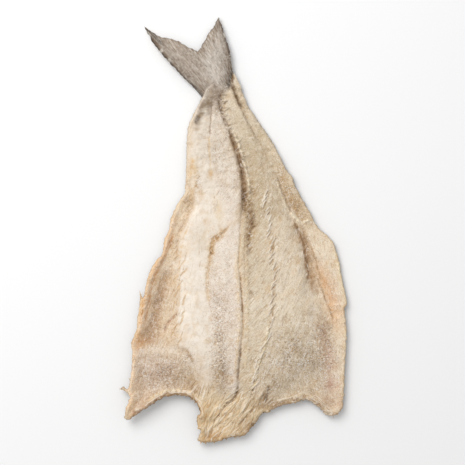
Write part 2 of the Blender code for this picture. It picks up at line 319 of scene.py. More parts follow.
def rough_at(points, size, seed, octaves=3):
    """Noise with finer noise on it."""
    return sum(noise_at(points, np.array(size) / 2**k, seed + k) / 2**k for k in range(octaves))


def turned(points, angle):
    """Along and across a direction, in degrees from +X towards +Y."""
    turn = math.radians(angle)
    along = points @ np.array([math.cos(turn), math.sin(turn)])
    across = points @ np.array([-math.sin(turn), math.cos(turn)])
    return np.column_stack([along, across])


def wobbled(points, amount, size, seed):
    """The points moved about a little, so that a line drawn on them is no longer smooth."""
    shift = [noise_at(points, size, seed), noise_at(points, size, seed + 1)]
    return points + amount * np.column_stack(shift)


def creases_at(points, size, seed, thin=0.16):
    """1 along thin lines and 0 elsewhere."""
    return np.exp(-((noise_at(points, size, seed) / thin) ** 2))


# %% [markdown]
# ## The outline
# Walk clockwise from the fin's left tip. A corner is where one smooth stretch ends and the next one starts.
# The head end was torn and cut by hand and the fin's rays end at different lengths, so those edges are more
# ragged than the sides.

# %% Outline
OUTLINE_STEP = 1.2 * MM
RAGGED_HEAD = 1.4 * MM
RAGGED_SIDE = 0.8 * MM
RAGGED_FIN = 0.9 * MM
RAGGED_SIZE = 5 * MM
HEAD_FADE = (-24 * CM, -21 * CM)
FIN_FADE = (21 * CM, 23 * CM)
FIN_FADE_SLOPE = 0.6
FIN_MIDDLE = -5 * CM
OUTLINE = [
    [(-12.6, 28.8), (-11.7, 28.1), (-10.3, 27.3), (-8.9, 27), (-7.6, 26.6), (-6.5, 25.9), (-5, 25.2)],
    [(-5, 25.2), (-4.5, 25.9), (-3.9, 26.9), (-3.5, 27.8), (-2.9, 28.5), (-2, 30.1)],
    [(-2, 30.1), (-1, 27), (-0.4, 24.8), (-0.1, 22.5)],
    [
        (-0.1, 22.5), (0.9, 20.7), (1.9, 18), (3, 16.2), (5, 13.3), (6.3, 11.1), (7.5, 8.6), (8.4, 7.4),
        (9.1, 5.6), (10.9, 2.5),
    ],
    [
        (10.9, 2.5), (12, 0.4), (13.3, -0.8), (14.2, -1.8), (14.6, -2.9), (15, -4.4), (15.3, -6.1),
        (15.6, -7.6), (16, -9.4), (16.1, -10.5), (15.8, -11.3), (16, -13.1), (16.1, -15.2), (15.9, -18.5),
        (15.7, -22.8), (15.5, -25.2),
    ],
    [
        (15.5, -25.2), (14.9, -25.9), (14.2, -26.2), (13.1, -26.2), (12.5, -25.5), (11.8, -24.9),
        (10.9, -24.3), (9.8, -24.1), (9, -24.4), (7.5, -24.7), (6.5, -25), (5.7, -25.3), (5.1, -25.7),
        (4.4, -25.8),
    ],
    [
        (4.4, -25.8), (3.7, -26.5), (3.2, -27.2), (2.6, -28), (1.7, -29), (-0.7, -29.4), (-2, -29.9),
        (-4.3, -30), (-5, -29.6), (-4.6, -28.3), (-5.2, -27), (-4.7, -25.6), (-5.1, -24.4),
    ],
    [
        (-5.1, -24.4), (-6.1, -23.7), (-7.6, -23.4), (-9.9, -23.7), (-12.1, -25.1), (-14.4, -26.6),
        (-15, -26.8),
    ],
    [(-15, -26.8), (-15.3, -26.4), (-15.1, -25.1), (-14.6, -23.7), (-14.8, -23.1)],
    [(-14.8, -23.1), (-15.4, -22.7), (-16.1, -22.5)],
    [
        (-16.1, -22.5), (-15.5, -22.2), (-14.8, -22.3), (-14.4, -20.1), (-14.2, -17.2), (-14.4, -16),
        (-13.7, -14.3), (-13.5, -12.6), (-13.2, -10.3), (-13.2, -8.6),
    ],
    [
        (-13.2, -8.6), (-12.7, -9.7), (-12.4, -8.4), (-11.8, -6), (-10.8, -4.3), (-10, -3.3), (-9.7, -1.3),
        (-9.1, -0.2), (-8.8, 1.6), (-7.8, 3.8), (-6.8, 5.2),
    ],
    [(-6.8, 5.2), (-6.6, 9.1), (-6.5, 13.2), (-6.1, 15.3), (-4.4, 18.7)],
    [(-4.4, 18.7), (-5, 19.6), (-7.3, 21.8), (-10.3, 25.1), (-11.3, 26.4), (-12.6, 28.8)],
]


def outline_points():
    stretches = [smooth_line(metres(stretch), OUTLINE_STEP)[:-1] for stretch in OUTLINE]
    steps = [np.arange(len(stretch)) for stretch in stretches]
    from_corner = np.concatenate([np.minimum(step, len(step) - step) for step in steps])
    ring = np.concatenate(stretches)
    along = np.roll(ring, -1, axis=0) - np.roll(ring, 1, axis=0)
    outward = np.column_stack([-along[:, 1], along[:, 0]]) / np.linalg.norm(along, axis=1)[:, None]
    head = 1 - ease(*HEAD_FADE, ring[:, 1])
    fin = ease(*FIN_FADE, ring[:, 1] + FIN_FADE_SLOPE * np.abs(ring[:, 0] - FIN_MIDDLE))
    ragged = RAGGED_SIDE + (RAGGED_HEAD - RAGGED_SIDE) * head + (RAGGED_FIN - RAGGED_SIDE) * fin
    ragged *= np.clip(from_corner * OUTLINE_STEP / RAGGED_SIZE, 0, 1)
    ring = ring + outward * (ragged * rough_at(ring, RAGGED_SIZE, SEED))[:, None]
    return ring - (ring.min(0) + ring.max(0)) / 2


RING = outline_points()
FIN_REAR = OUTLINE[0] + OUTLINE[1][1:]
print("outline of", len(RING), "points,", np.round((RING.max(0) - RING.min(0)) / MM), "mm across")

# %% [markdown]
# ## Distances
# Many things depend on how far a point is from a line: the rounded rim, the curl of the flaps, the depth of
# a groove, the width of a stain. Upright walls in a search tree answer that quickly for the outline, and
# short straight pieces do so for the lines drawn on the flesh.

# %% Distance helpers
CHUNK = 4000
LINE_STEP = 2 * MM
CLIFF = 0.9 * MM
TAPER = 0.12
CLIFF_TAPER = 0.2
FAR = 60 * CM


def wall_tree(ring):
    count = len(ring)
    points = [(x, y, z) for z in (-1, 1) for x, y in ring]
    walls = [(i, (i + 1) % count, count + (i + 1) % count, count + i) for i in range(count)]
    return BVHTree.FromPolygons(points, walls)


EDGE_TREE = wall_tree(RING)


def from_outline(points):
    return np.array([EDGE_TREE.find_nearest((x, y, 0))[3] for x, y in points])


def inside(points, ring):
    """Whether each point is inside the ring, by counting the edges that its ray to the right crosses."""
    a, b = ring, np.roll(ring, -1, axis=0)
    found = np.zeros(len(points), bool)
    order = np.argsort(points[:, 1], kind="stable")
    for chunk in np.array_split(order, len(points) // CHUNK + 1):
        x, y = points[chunk, 0, None], points[chunk, 1, None]
        useful = (np.minimum(a[:, 1], b[:, 1]) <= y.max()) & (np.maximum(a[:, 1], b[:, 1]) >= y.min())
        p, q = a[useful], b[useful]
        spans = (p[:, 1] > y) != (q[:, 1] > y)
        rise = np.where(p[:, 1] == q[:, 1], 1, q[:, 1] - p[:, 1])
        crossing = p[:, 0] + (y - p[:, 1]) * (q[:, 0] - p[:, 0]) / rise
        found[chunk] = (spans & (x < crossing)).sum(1) % 2 == 1
    return found


def to_line(points, line, reach):
    """Distance from a line, up to reach, the side (+1 right, -1 left) and the share of the way along."""
    fine = smooth_line(metres(line), LINE_STEP)
    distance, side, share = np.full(len(points), reach), np.ones(len(points)), np.zeros(len(points))
    near = np.flatnonzero(((points > fine.min(0) - reach) & (points < fine.max(0) + reach)).all(1))
    start, step = fine[:-1], np.diff(fine, axis=0)
    for chunk in np.array_split(near, len(near) // CHUNK + 1):
        offset = points[chunk][:, None, :] - start
        part = np.clip((offset * step).sum(2) / (step**2).sum(1), 0, 1)
        away = offset - part[..., None] * step
        squared = (away**2).sum(2)
        best = squared.argmin(1)
        rows = np.arange(len(chunk))
        distance[chunk] = np.minimum(np.sqrt(squared[rows, best]), reach)
        cross = step[best, 1] * away[rows, best, 0] - step[best, 0] * away[rows, best, 1]
        side[chunk] = np.where(cross > 0, 1.0, -1.0)
        share[chunk] = (best + part[rows, best]) / len(step)
    return distance, side, share


def tapered(share, fade=TAPER):
    """1 along most of a line, and down to 0 at both of its ends."""
    return ease(0, fade, share) * ease(0, fade, 1 - share)


def stroke(points, line, half_width):
    """1 on the line and falling off to both sides."""
    distance, _, share = to_line(points, line, 3 * half_width)
    return np.exp(-((distance / half_width) ** 2)) * tapered(share) * (distance < 3 * half_width)


def scarp(points, line, reach):
    """1 at the top of a low cliff, sloping back on the right of the way along its line, 0 on the left."""
    distance, side, share = to_line(points, line, 4 * reach)
    back = np.exp(-distance / reach) - np.exp(-4)
    foot = 1 - ease(0, CLIFF, distance)
    return np.where(side > 0, back, foot) * tapered(share, CLIFF_TAPER) * (distance < 4 * reach)


def patch(points, centre, half_size, angle=0.0):
    """1 in the middle of an oval and falling off to its rim. Centre and half sizes are in centimetres."""
    along, across = turned(points - metres(centre), angle).T
    return np.exp(-((along / (half_size[0] * CM)) ** 2) - (across / (half_size[1] * CM)) ** 2)


# %% [markdown]
# ## The form of the flesh
# The solid's sizes are repeated here: how thick the loins and the flaps are from the tail to the neck, how
# deep the groove is, and how far the edges lift off the table. Each table has rows of y in centimetres and
# a value in millimetres.

# %% Sizes
LOIN_LEFT_MM = [
    (22.5, 4), (20.5, 6), (19, 11), (17, 15), (13, 18), (5, 20), (-8, 25), (-17, 26), (-22, 23), (-25, 15),
    (-30, 9),
]
LOIN_RIGHT_MM = [
    (22.5, 3), (20.5, 6), (19, 10), (17, 14), (13, 17), (5, 20), (-8, 24), (-17, 23), (-22, 19), (-25, 14),
    (-30, 9),
]
FLAP_LEFT_MM = [(20, 6), (13, 10), (5, 9), (-2, 8), (-10, 6), (-15.5, 6), (-19, 9), (-26, 7)]
FLAP_RIGHT_MM = [(22.5, 3), (20, 7), (17, 10), (8, 11), (2, 10), (-4, 8), (-10, 8), (-18, 10), (-26, 7)]
SHOULDER_LEFT = [(20, 0.12), (2, 0.14), (-6, 0.28), (-14, 0.32), (-20, 0.4), (-30, 0.4)]
SHOULDER_RIGHT = [
    (20, 0.08), (15, 0.12), (12, 0.35), (4, 0.4), (0, 0.16), (-7, 0.18), (-12, 0.35), (-18, 0.45),
    (-30, 0.45),
]
GROOVE_DEPTH_MM = [
    (20.5, 0), (18.5, 0.8), (15.5, 2), (13.5, 4), (12, 5.5), (5, 6), (2, 3.5), (-1, 1), (-5, 1), (-11, 1.8),
    (-14, 1.2), (-17, 1.8), (-20, 2.4), (-24, 0),
]
GROOVE_WIDTH_MM = [(18, 1.8), (12, 3), (5, 4), (1, 3), (-1, 1.4), (-24, 1.4)]
STALK_LIFT_MM = [(14.5, 0), (18, 2.5), (20.5, 7), (25, 8), (31, 4)]
LIFT_LEFT_MM = [(19, 0), (10, 1.5), (3, 2.5), (-4, 5), (-12, 6), (-20, 7), (-26, 11), (-30, 6)]
LIFT_RIGHT_MM = [(19, 0), (10, 1), (-2, 1.5), (-12, 2), (-20, 2.5), (-25, 6), (-30, 5)]
FIN_THICKNESS = 2.0 * MM
RIM_THICKNESS = 1.4 * MM
EDGE_ROUND = 5.5 * MM
EDGE_ROUND_RIGHT = 2.6 * MM
EDGE_LIFT_REACH = 32 * MM
CURL = 2.6 * MM
CURL_REACH = 6 * MM
LOIN_BLEND = 5 * MM
DOME_FALL = 0.35
DOME_TOP = 0.45
FIN_WAVE = 1.3 * MM
FIN_WAVES = 5

# %% Lines on the flesh
BACKBONE = [
    (-2.1, 20.5), (-1.9, 18.6), (-1.5, 16.2), (-0.5, 13.8), (0.2, 11.8), (0.9, 9.4), (1.4, 7), (1.5, 4.2),
    (1.3, 2), (1.1, 0.5), (1, -1.6), (0.8, -4.6), (1.1, -7.5), (1.3, -10.6), (1.4, -13.4), (1.1, -17),
    (0.7, -20.8), (0.7, -22.7), (-1, -25.1), (-3, -29.9),
]
LOIN_EDGE_LEFT = [
    (-3.8, 20.5), (-5.7, 14.8), (-6.2, 11.2), (-6.1, 7), (-5.3, 3.5), (-6.4, 1.6), (-7.3, -0.6),
    (-7.6, -2.9), (-7.7, -10.6), (-7.9, -15.6), (-6.7, -17.8), (-5.6, -20.5), (-5.2, -30),
]
LOIN_EDGE_RIGHT = [
    (0.1, 20.5), (1.1, 17.8), (1.7, 16), (2.6, 14.1), (3.8, 12), (4.9, 9.8), (5.9, 7.6), (6.9, 5.2),
    (8.1, 2.1), (9.3, -0.5), (10, -3.4), (10.4, -6), (11.2, -9.5), (11.7, -14.1), (11.1, -18.4), (8, -21.9),
    (4.2, -25), (3, -30),
]
SEAM_LEFT = [
    (-3.1, 16.2), (-3.4, 11), (-2.4, 6), (-1.2, 3), (-0.9, 0.3), (-2.4, -1.2), (-3.1, -2.9), (-3.4, -5.4),
    (-3.7, -8), (-3.4, -10.3), (-3, -13.5), (-2.1, -16), (-1.7, -19.2), (-1.4, -22.5),
]
SEAM_RIGHT = [
    (4.4, 6), (4.9, 3.1), (5.3, 0.1), (5.5, -4.1), (5.9, -5.9), (5.6, -9.9), (5.4, -12.3), (4.4, -16.8),
    (3.6, -19), (2.6, -23.2),
]
FIN_BASE = [
    (-5.4, 17.5), (-4.4, 18.6), (-3.9, 19.6), (-3.4, 20.2), (-2.7, 20.7), (-1.6, 20.4), (-0.9, 20.4),
    (-0.4, 21), (0, 22.4), (0.3, 23.4),
]
FIN_ROOT = (-2.0, 19.2)

# %% [markdown]
# ## Lines of the relief
# These lines are where something happens on the cut side: skin or muscle bunches up into a ridge, has
# shrunk apart into a groove, or one layer ends on top of the next. The painting uses the same lines later.

# %% Relief lines
LINES = {
    "groove wall": [
        (-1.5, 16.4), (-0.9, 15.2), (-0.6, 14.1), (-0.2, 12.5), (0.4, 10.8), (0.9, 9.1), (1.2, 7.3),
        (1.2, 5.6), (1.3, 2.4),
    ],
    "groove floor": [(-0.5, 13.9), (0, 12.4), (0.8, 10.4), (1.2, 8.6), (1.5, 7), (1.65, 5.4), (1.7, 3.4)],
    "spine ridge": [(-0.1, 14), (0.4, 12.9), (1, 11.4), (1.5, 9.6), (1.9, 8), (2.2, 6), (2.35, 3.9)],
    "spine shadow": [(2.5, 7.6), (2.8, 6), (3, 4.3)],
    "strip edge": [(0.1, 19.4), (0.9, 17.7), (1.6, 16), *LOIN_EDGE_RIGHT[3:9]],
    "strip edge top": [(0.9, 17.7), (1.6, 16), (2.6, 14.1), (3.6, 12.3)],
    "strip shadow": [
        (0.1, 23.2), (-0.2, 22), (-0.1, 20.8), (0.1, 19.6), (0.5, 18.5), (0.9, 17.7), (1.3, 16.8),
    ],
    "right hollow": [
        (8.3, 1.4), (8.9, 0.5), (9.3, -0.4), (9.7, -1.5), (9.9, -2.5), (10.1, -3.6), (10.3, -4.6),
        (10.5, -6), (10.6, -7.6),
    ],
    "right hollow's floor": [
        (9.3, 0), (9.9, -1.6), (10.3, -3), (10.7, -4.6), (11, -6.2), (11.2, -7.6), (11.4, -9.2),
    ],
    "right hollow's bank": [(9.2, 1.2), (10.2, -1.5), (10.9, -4.5), (11.6, -7.5), (12.2, -10)],
    "right flap's crease": [(11.8, -6.4), (12.7, -8.9), (13.4, -10.6), (14.4, -13.4)],
    "right flap's swelling": [(11.6, -2), (13.2, -5.5), (14.3, -9), (14.8, -12)],
    "left hollow": [(-9, -5.2), (-9.9, -7.6), (-10.5, -9.6), (-11, -11.6), (-11.6, -14), (-12.2, -16)],
    "left rim": [
        (-7.6, 3), (-8.7, 0.4), (-9.4, -2.1), (-10.6, -4.9), (-11.8, -7.4), (-12.4, -10.5), (-12.9, -13.6),
        (-13.6, -16.2),
    ],
    "left bank": [(-5.4, 4.4), (-6.3, 2.2), (-7.4, -0.2), (-8, -2.6), (-8.1, -5.4)],
    "left flap's fold": [(-7.7, -11.7), (-8.5, -12.4), (-9.3, -13.4), (-9.9, -14.6)],
    "crevice": [(-1, 0.1), (-1.6, -0.6), (-2.4, -1.2), (-2.9, -1.9), (-3.05, -2.9), (-3, -3.9)],
    "left seam": [(-3, -2.6), (-3.4, -5), (-3.7, -7), (-3.6, -8.8), (-3.4, -10.6)],
    "right seam": [
        (5.3, 0.1), (5.6, -2.4), (5.5, -4.1), (5.9, -5.9), (5.7, -8.1), (5.6, -9.9), (5.5, -12.3),
        (5, -14.1),
    ],
    "backbone": [*BACKBONE[9:16], (0.8, -19.4)],
    "backbone crack": [(0.95, -6), (1.05, -7.6), (1.2, -9.6), (1.3, -11.4), (1.35, -12.8)],
    "backbone gash": [(1.1, -16.2), (0.9, -18), (0.75, -19.8), (0.7, -21.6)],
    "backbone's left lip": [(0.3, -2.6), (0.5, -5.5), (0.7, -9), (0.85, -13.4), (0.5, -17.4), (0.2, -21)],
    "backbone's right lip": [(1.9, -3.6), (1.9, -7.5), (2.1, -12), (1.9, -16.8), (1.5, -21)],
    "second backbone line": [(1.9, 0.6), (1.6, -2), (1.6, -5), (1.7, -8)],
    "stalk ridge": [(-5.4, 15.6), (-5.1, 17), (-4.4, 18.5), (-4, 19.5), (-3.4, 20.3), (-2.6, 20.9)],
    "stalk valley": [(-5, 15.6), (-4.4, 16.8), (-3.7, 17.8), (-3, 18.7), (-2.4, 19.6)],
    "stalk crease": [(-2.8, 18.8), (-3, 17.2), (-3.2, 15.1), (-3.3, 13)],
    "stalk crease's bank": [(-2.3, 18.4), (-2.6, 16.6), (-2.8, 14.6)],
    "torn skin": [
        (-0.6, 20.8), (-1, 19.9), (-1.7, 19), (-1.9, 17.9), (-1.7, 16.9), (-1.4, 15.8), (-0.9, 14.8),
    ],
    "crease under the fin": [(0.1, 22.3), (-0.2, 21.4), (-0.5, 20.7), (-0.7, 20.1)],
    "membrane": [
        (-14, -18.2), (-12.9, -17.5), (-11.9, -17.2), (-10.9, -17.2), (-9.9, -17.4), (-8.5, -17.3),
        (-7.3, -17.6), (-6.1, -18.5),
    ],
    "torn corner": [(-7, -16.6), (-6.2, -17.6), (-5.6, -18.8)],
    "lower left fold": [
        (-14.6, -25.3), (-13.1, -25.2), (-11.9, -24.5), (-10.9, -23.6), (-9.9, -22.9), (-8.5, -22.7),
        (-7.1, -22.8), (-5.8, -23.4),
    ],
    "lower right fold": [
        (8, -24), (9.6, -23.6), (10.9, -24), (12, -25), (12.9, -25.6), (14.2, -25.5), (15.2, -24.7),
    ],
    "neck border": [
        (0.7, -21.4), (0.6, -22.6), (0.2, -23.7), (-0.8, -24.5), (-1.6, -25.3), (-2.1, -26.3),
        (-3.3, -27.4),
    ],
    "first strand": [(4.5, -22.2), (3.7, -23.8), (2.5, -26), (1.1, -28.1), (0, -29.3)],
    "second strand": [(3.2, -22.2), (2.3, -24.1), (1.1, -26), (-0.5, -28), (-1.7, -29.2)],
    "third strand": [(1.9, -22.4), (1.1, -24.1), (-0.2, -25.9), (-1.8, -27.7), (-3, -29.2)],
    "fourth strand": [(0.5, -24), (-0.4, -25), (-1.8, -26.3), (-3.2, -27.9), (-3.8, -29.1)],
    "fifth strand": [(-1.6, -24.2), (-2.6, -25.4), (-3.6, -26.8), (-4.3, -28.2)],
    "neck pit": [(5.2, -21.9), (4.9, -23), (4.5, -24.4)],
    "first gap": [(4.7, -22.6), (3.9, -23.7), (3.3, -24.4), (2.6, -25.4), (1.7, -26.5), (0.6, -27.8)],
    "second gap": [(3.1, -20.4), (2.9, -22.1), (2.4, -23.7), (1.7, -25.3), (0.6, -26.6), (-0.6, -28)],
    "third gap": [(1, -24), (0, -25.2), (-1.4, -26.8), (-2.6, -28.2)],
    "low ridge": [(5.2, -12.6), (4.9, -14.4), (4.4, -16.7), (3.6, -18.9), (3.1, -21.3), (2.5, -23.2)],
    "torn bank": [(7.9, 2.5), (8.5, 1.9), (9.2, 1.3), (9.8, 1), (10.8, 1.5)],
    "strip lip": [(5.9, 7.5), (6.3, 6.3), (6.65, 5.2), (7.1, 4.1), (7.6, 3.1), (8, 2.3)],
    "strip foot": [(6.2, 7.5), (6.6, 6.3), (7, 5.2), (7.5, 4.1), (8, 3.1), (8.4, 2.5)],
    "tail piece's fold": [(-0.3, 20.2), (0.4, 18.9), (1.1, 17.8), (1.7, 16.2)],
    "notch frill": [
        (-12.2, -24.2), (-10.9, -23.3), (-9.6, -22.7), (-8.2, -22.5), (-6.8, -22.6), (-5.6, -23),
        (-4.6, -23.9),
    ],
    "right frill": [
        (5.6, -24.3), (7.2, -23.9), (8.8, -23.5), (10.2, -23.3), (11.2, -23.7), (12.2, -24.4),
        (13.2, -25.2), (14.6, -25.2),
    ],
    "tail wrinkle": [(-1.8, 11.6), (-0.8, 11.3), (0, 11.7)],
    "second tail wrinkle": [(-2.2, 10.2), (-1.2, 10), (-0.2, 10.4), (0.5, 10.3)],
    "third tail wrinkle": [(-2.6, 8.6), (-1.4, 8.2), (-0.4, 8.6)],
    "long crease": [(-3.3, 13.4), (-3.4, 11.4), (-3.2, 9.4), (-3.3, 7.2)],
    "fold over the fin": [(-2.5, 21), (-3.3, 20.5), (-4.1, 19.6), (-4.6, 18.6)],
}

# %% [markdown]
# ## Folds and cliffs
# A fold is a line with a half width and a height: ridges stand up and grooves go down. A cliff has a sharp
# drop on the left of the way along its line and slopes away on the right of it, and the low lamp makes its
# top bright.

# %% Folds: line, half width and height in mm
FOLDS = [
    ("spine ridge", 1.7, 3.6),
    ("groove floor", 1.8, -1.2),
    ("spine shadow", 2, -0.8),
    ("strip edge", 1.6, -0.25),
    ("strip edge top", 1.1, -0.9),
    ("right hollow", 1.6, -0.7),
    ("right hollow's floor", 4, -1.1),
    ("torn bank", 2, 1.2),
    ("strip lip", 1.3, 0.8),
    ("strip foot", 1.8, -1),
    ("right hollow's bank", 6, -1.2),
    ("right flap's crease", 1, -1.3),
    ("right flap's swelling", 9, 2),
    ("left hollow", 6, -2.2),
    ("left rim", 4.2, 2),
    ("left bank", 3.4, -1.2),
    ("left flap's fold", 1.3, -1.2),
    ("crevice", 2.8, -0.8),
    ("left seam", 2.2, -0.7),
    ("right seam", 1.3, -0.6),
    ("backbone", 0.8, -0.4),
    ("backbone crack", 0.9, -0.6),
    ("backbone gash", 1, -0.9),
    ("backbone's left lip", 2.4, 0.6),
    ("backbone's right lip", 2.2, 0.6),
    ("second backbone line", 0.8, -0.7),
    ("stalk ridge", 3, 2),
    ("stalk valley", 5, -1.8),
    ("stalk crease", 0.9, -1.2),
    ("stalk crease's bank", 1.6, 0.9),
    ("torn skin", 1.3, -0.8),
    ("crease under the fin", 1.8, -2),
    ("strip shadow", 1.8, -1.8),
    ("membrane", 6, 1.2),
    ("torn corner", 2.4, -0.8),
    ("lower left fold", 3, 2.6),
    ("lower right fold", 2.4, 1.8),
    ("neck border", 1.3, -1.8),
    ("first strand", 2.6, 1.8),
    ("second strand", 2.4, 1.5),
    ("third strand", 2.6, 1.6),
    ("fourth strand", 2.4, 1.4),
    ("fifth strand", 1.6, 1.4),
    ("neck pit", 2.4, -1.8),
    ("first gap", 1.2, -1.8),
    ("second gap", 1.2, -1.8),
    ("third gap", 0.9, -0.9),
    ("notch frill", 1.4, 1.8),
    ("right frill", 1.4, 1.6),
    ("tail wrinkle", 1.8, 0.7),
    ("second tail wrinkle", 1.6, 0.6),
    ("third tail wrinkle", 1.6, 0.6),
    ("long crease", 1, -0.8),
]
FOLD_TABLE = [(LINES[name], width, height) for name, width, height in FOLDS]

# %% Cliffs: line, reach and height in mm
CLIFFS = [
    ("strip edge", 4, 0.35),
    ("strip edge top", 3, 0.7),
    ("groove wall", 3, 0.6),
    ("tail piece's fold", 4, 1.6),
    ("fold over the fin", 4, 1.8),
    ("low ridge", 5, 2.3),
    ("right hollow", 5, 0.9),
    ("torn bank", 3, 1),
]
CLIFF_TABLE = [(LINES[name], reach, height) for name, reach, height in CLIFFS]

# %% Rows of short lines
LOWER_SHARE = 0.4
SAG = np.array([-0.6 * MM, 0.0])
FLAKE_ROWS = {
    "count": 38, "from_to_cm": (5, -22), "aside_cm": (-0.5, 0.3), "angle": (48, 68), "length_mm": (8, 17),
}
STREAK_ROWS = {
    "count": 14, "from_to_cm": (-3, -15.8), "aside_cm": (-0.9, 0.7), "angle": (50, 74), "length_mm": (9, 20),
}


def slanting_lines(beside, rows, seed):
    """Short lines one below the other along another line, all slanting up to the right."""
    generator = np.random.default_rng(seed)
    found = []
    for y in np.linspace(*rows["from_to_cm"], rows["count"]) * CM:
        x = line_x(beside, y) + generator.uniform(*rows["aside_cm"]) * CM
        angle = math.radians(generator.uniform(*rows["angle"]))
        step = np.array([math.cos(angle), math.sin(angle)]) * generator.uniform(*rows["length_mm"]) * MM
        low = np.array([x, y]) - LOWER_SHARE * step
        bent = low + 0.5 * step + SAG
        found.append([tuple(point / CM) for point in (low + step, bent, low)])
    return found


THREAD_STEPS = (4, 11)
THREAD_MARGIN = 2.2 * MM
THREAD_BOW_MM = 1.8
THREAD_ASIDE_MM = (2.0, 6.5)


def threads_beside(name, count, seed):
    """Thin threads that run side by side along a torn edge, each over a part of it."""
    generator = np.random.default_rng(seed)
    path = smooth_line(metres(LINES[name]), LINE_STEP)
    found = []
    for _ in range(count):
        steps = generator.integers(*THREAD_STEPS)
        first = generator.integers(0, len(path) - steps)
        piece = path[first : first + steps]
        along = np.gradient(piece, axis=0)
        inward = np.column_stack([-along[:, 1], along[:, 0]]) / np.linalg.norm(along, axis=1)[:, None]
        bow = generator.uniform(-THREAD_BOW_MM, THREAD_BOW_MM) * MM * np.sin(np.linspace(0, math.pi, steps))
        thread = piece + inward * (generator.uniform(*THREAD_ASIDE_MM) * MM + bow)[:, None]
        if inside(thread, RING).all() and from_outline(thread).min() > THREAD_MARGIN:
            found.append([tuple(point / CM) for point in thread])
    return found


# %% Pits
MM_IN_CM = 10
SPOT_LONG = (0.5, 1.3)
SPOT_WIDE = (0.3, 0.8)
SPOT_SHIFT = 0.8
SPOT_ANGLE = (30, 120)


def spots_along(name, spacing_mm, size_mm, seed):
    """Small ovals strung unevenly along a line: centre and half sizes in cm, and an angle."""
    generator = np.random.default_rng(seed)
    line = smooth_line(metres(LINES[name]), spacing_mm * MM) / CM
    spots = []
    for x, y in line:
        long, wide = (generator.uniform(*share) * size_mm / MM_IN_CM for share in (SPOT_LONG, SPOT_WIDE))
        shift = generator.uniform(-SPOT_SHIFT, SPOT_SHIFT, 2) * size_mm / MM_IN_CM
        spots.append(((x + shift[0], y + shift[1]), (long, wide), generator.uniform(*SPOT_ANGLE)))
    return spots


# Line, spacing, size and depth in mm, strength of the stain and its colour.
PIT_ROWS = [
    ("crevice", 3, 4.4, 0.6, 0.5, (202, 162, 110)),
    ("crevice", 5, 1.8, 0.6, 0.6, (178, 142, 98)),
    ("left seam", 6, 2.2, 0.5, 0.6, (204, 168, 122)),
    ("right hollow", 3.4, 3.4, 0.6, 0.4, (158, 126, 90)),
    ("right seam", 5.6, 1.9, 0.5, 0.6, (170, 138, 94)),
    ("groove floor", 3.6, 2.4, 0.8, 0.6, (140, 104, 66)),
    ("groove pits", 2.6, 2.8, 0.9, 0.55, (134, 100, 62)),
    ("torn skin", 3, 2.4, 0.7, 0.6, (120, 94, 66)),
    ("backbone gash", 4, 1.8, 0.5, 0.4, (116, 90, 62)),
    ("loose row", 4.4, 2, 0.6, 0.5, (166, 138, 102)),
    ("torn corner", 3.2, 2.6, 0.6, 0.5, (160, 130, 96)),
    ("strip flecks", 6, 2, 0.6, 0.6, (176, 146, 104)),
]
LINES |= {
    "groove pits": [(1.6, 5.6), (1.6, 2.6), (2.6, 2.4), (2.7, 0.4), (2.3, -0.6), (2.2, -3.4)],
    "loose row": [(2.2, -4.5), (2.3, -7), (2.4, -9.8), (2.2, -12.6)],
    "strip flecks": [(3.3, 13.2), (4.3, 11.2), (5.6, 8.6), (7, 5.4), (8.2, 3.4)],
}
PITS = [
    (spot, depth, strength, colour)
    for number, (name, spacing, size, depth, strength, colour) in enumerate(PIT_ROWS)
    for spot in spots_along(name, spacing, size, SEED + 10 + number)
]

# %% Frill
FRILLS = 17
FRILLS_FROM = 19.4 * CM
FRILLS_TO = 10.4 * CM
FRILL_HALF_WIDTH_MM = 1.2
FRILL_HEIGHT_MM = (0.9, 1.8)
FRILL_LONG_MM = (4, 13)
FRILL_ASIDE_MM = (1.0, 2.5)
FRILL_RISE = (-0.3, 0.8)
FRILL_BEND = 0.65


def frill_lines():
    """Short wrinkles that run off the torn edge of the right piece, one below the other."""
    generator = np.random.default_rng(SEED + 4)
    found = []
    for number in range(FRILLS):
        y = FRILLS_FROM + (FRILLS_TO - FRILLS_FROM) * number / (FRILLS - 1) + generator.uniform(-1, 1) * MM
        x = line_x(BACKBONE, y) + generator.uniform(*FRILL_ASIDE_MM) * MM
        long = generator.uniform(*FRILL_LONG_MM) * MM
        rise = generator.uniform(*FRILL_RISE)
        points = [(x, y), (x + 0.5 * long, y + FRILL_BEND * rise * long), (x + long, y + rise * long)]
        line = [tuple(np.array(point) / CM) for point in points]
        found.append((line, FRILL_HALF_WIDTH_MM, generator.uniform(*FRILL_HEIGHT_MM)))
    return found


FRILL_TABLE = frill_lines()
FOLD_TABLE += FRILL_TABLE
FLAKE_REACH_MM = 2.4
FLAKE_MM = 1.5
FLAKE_LINES = slanting_lines(SEAM_RIGHT, FLAKE_ROWS, SEED)
CLIFF_TABLE += [(line, FLAKE_REACH_MM, FLAKE_MM) for line in FLAKE_LINES]
STREAK_LINES = slanting_lines(LOIN_EDGE_LEFT, STREAK_ROWS, SEED + 5)
FOLD_TABLE += [(line, FRILL_HALF_WIDTH_MM, 1.0) for line in STREAK_LINES]
print(len(FOLD_TABLE), "folds,", len(CLIFF_TABLE), "cliffs and", len(PITS), "pits")

# %% [markdown]
# ## Zones
# The muscle lies at another angle in each part of the fish, and each part has its own colour. A zone is a
# share from 0 to 1 at each point, and its borders wander a little.

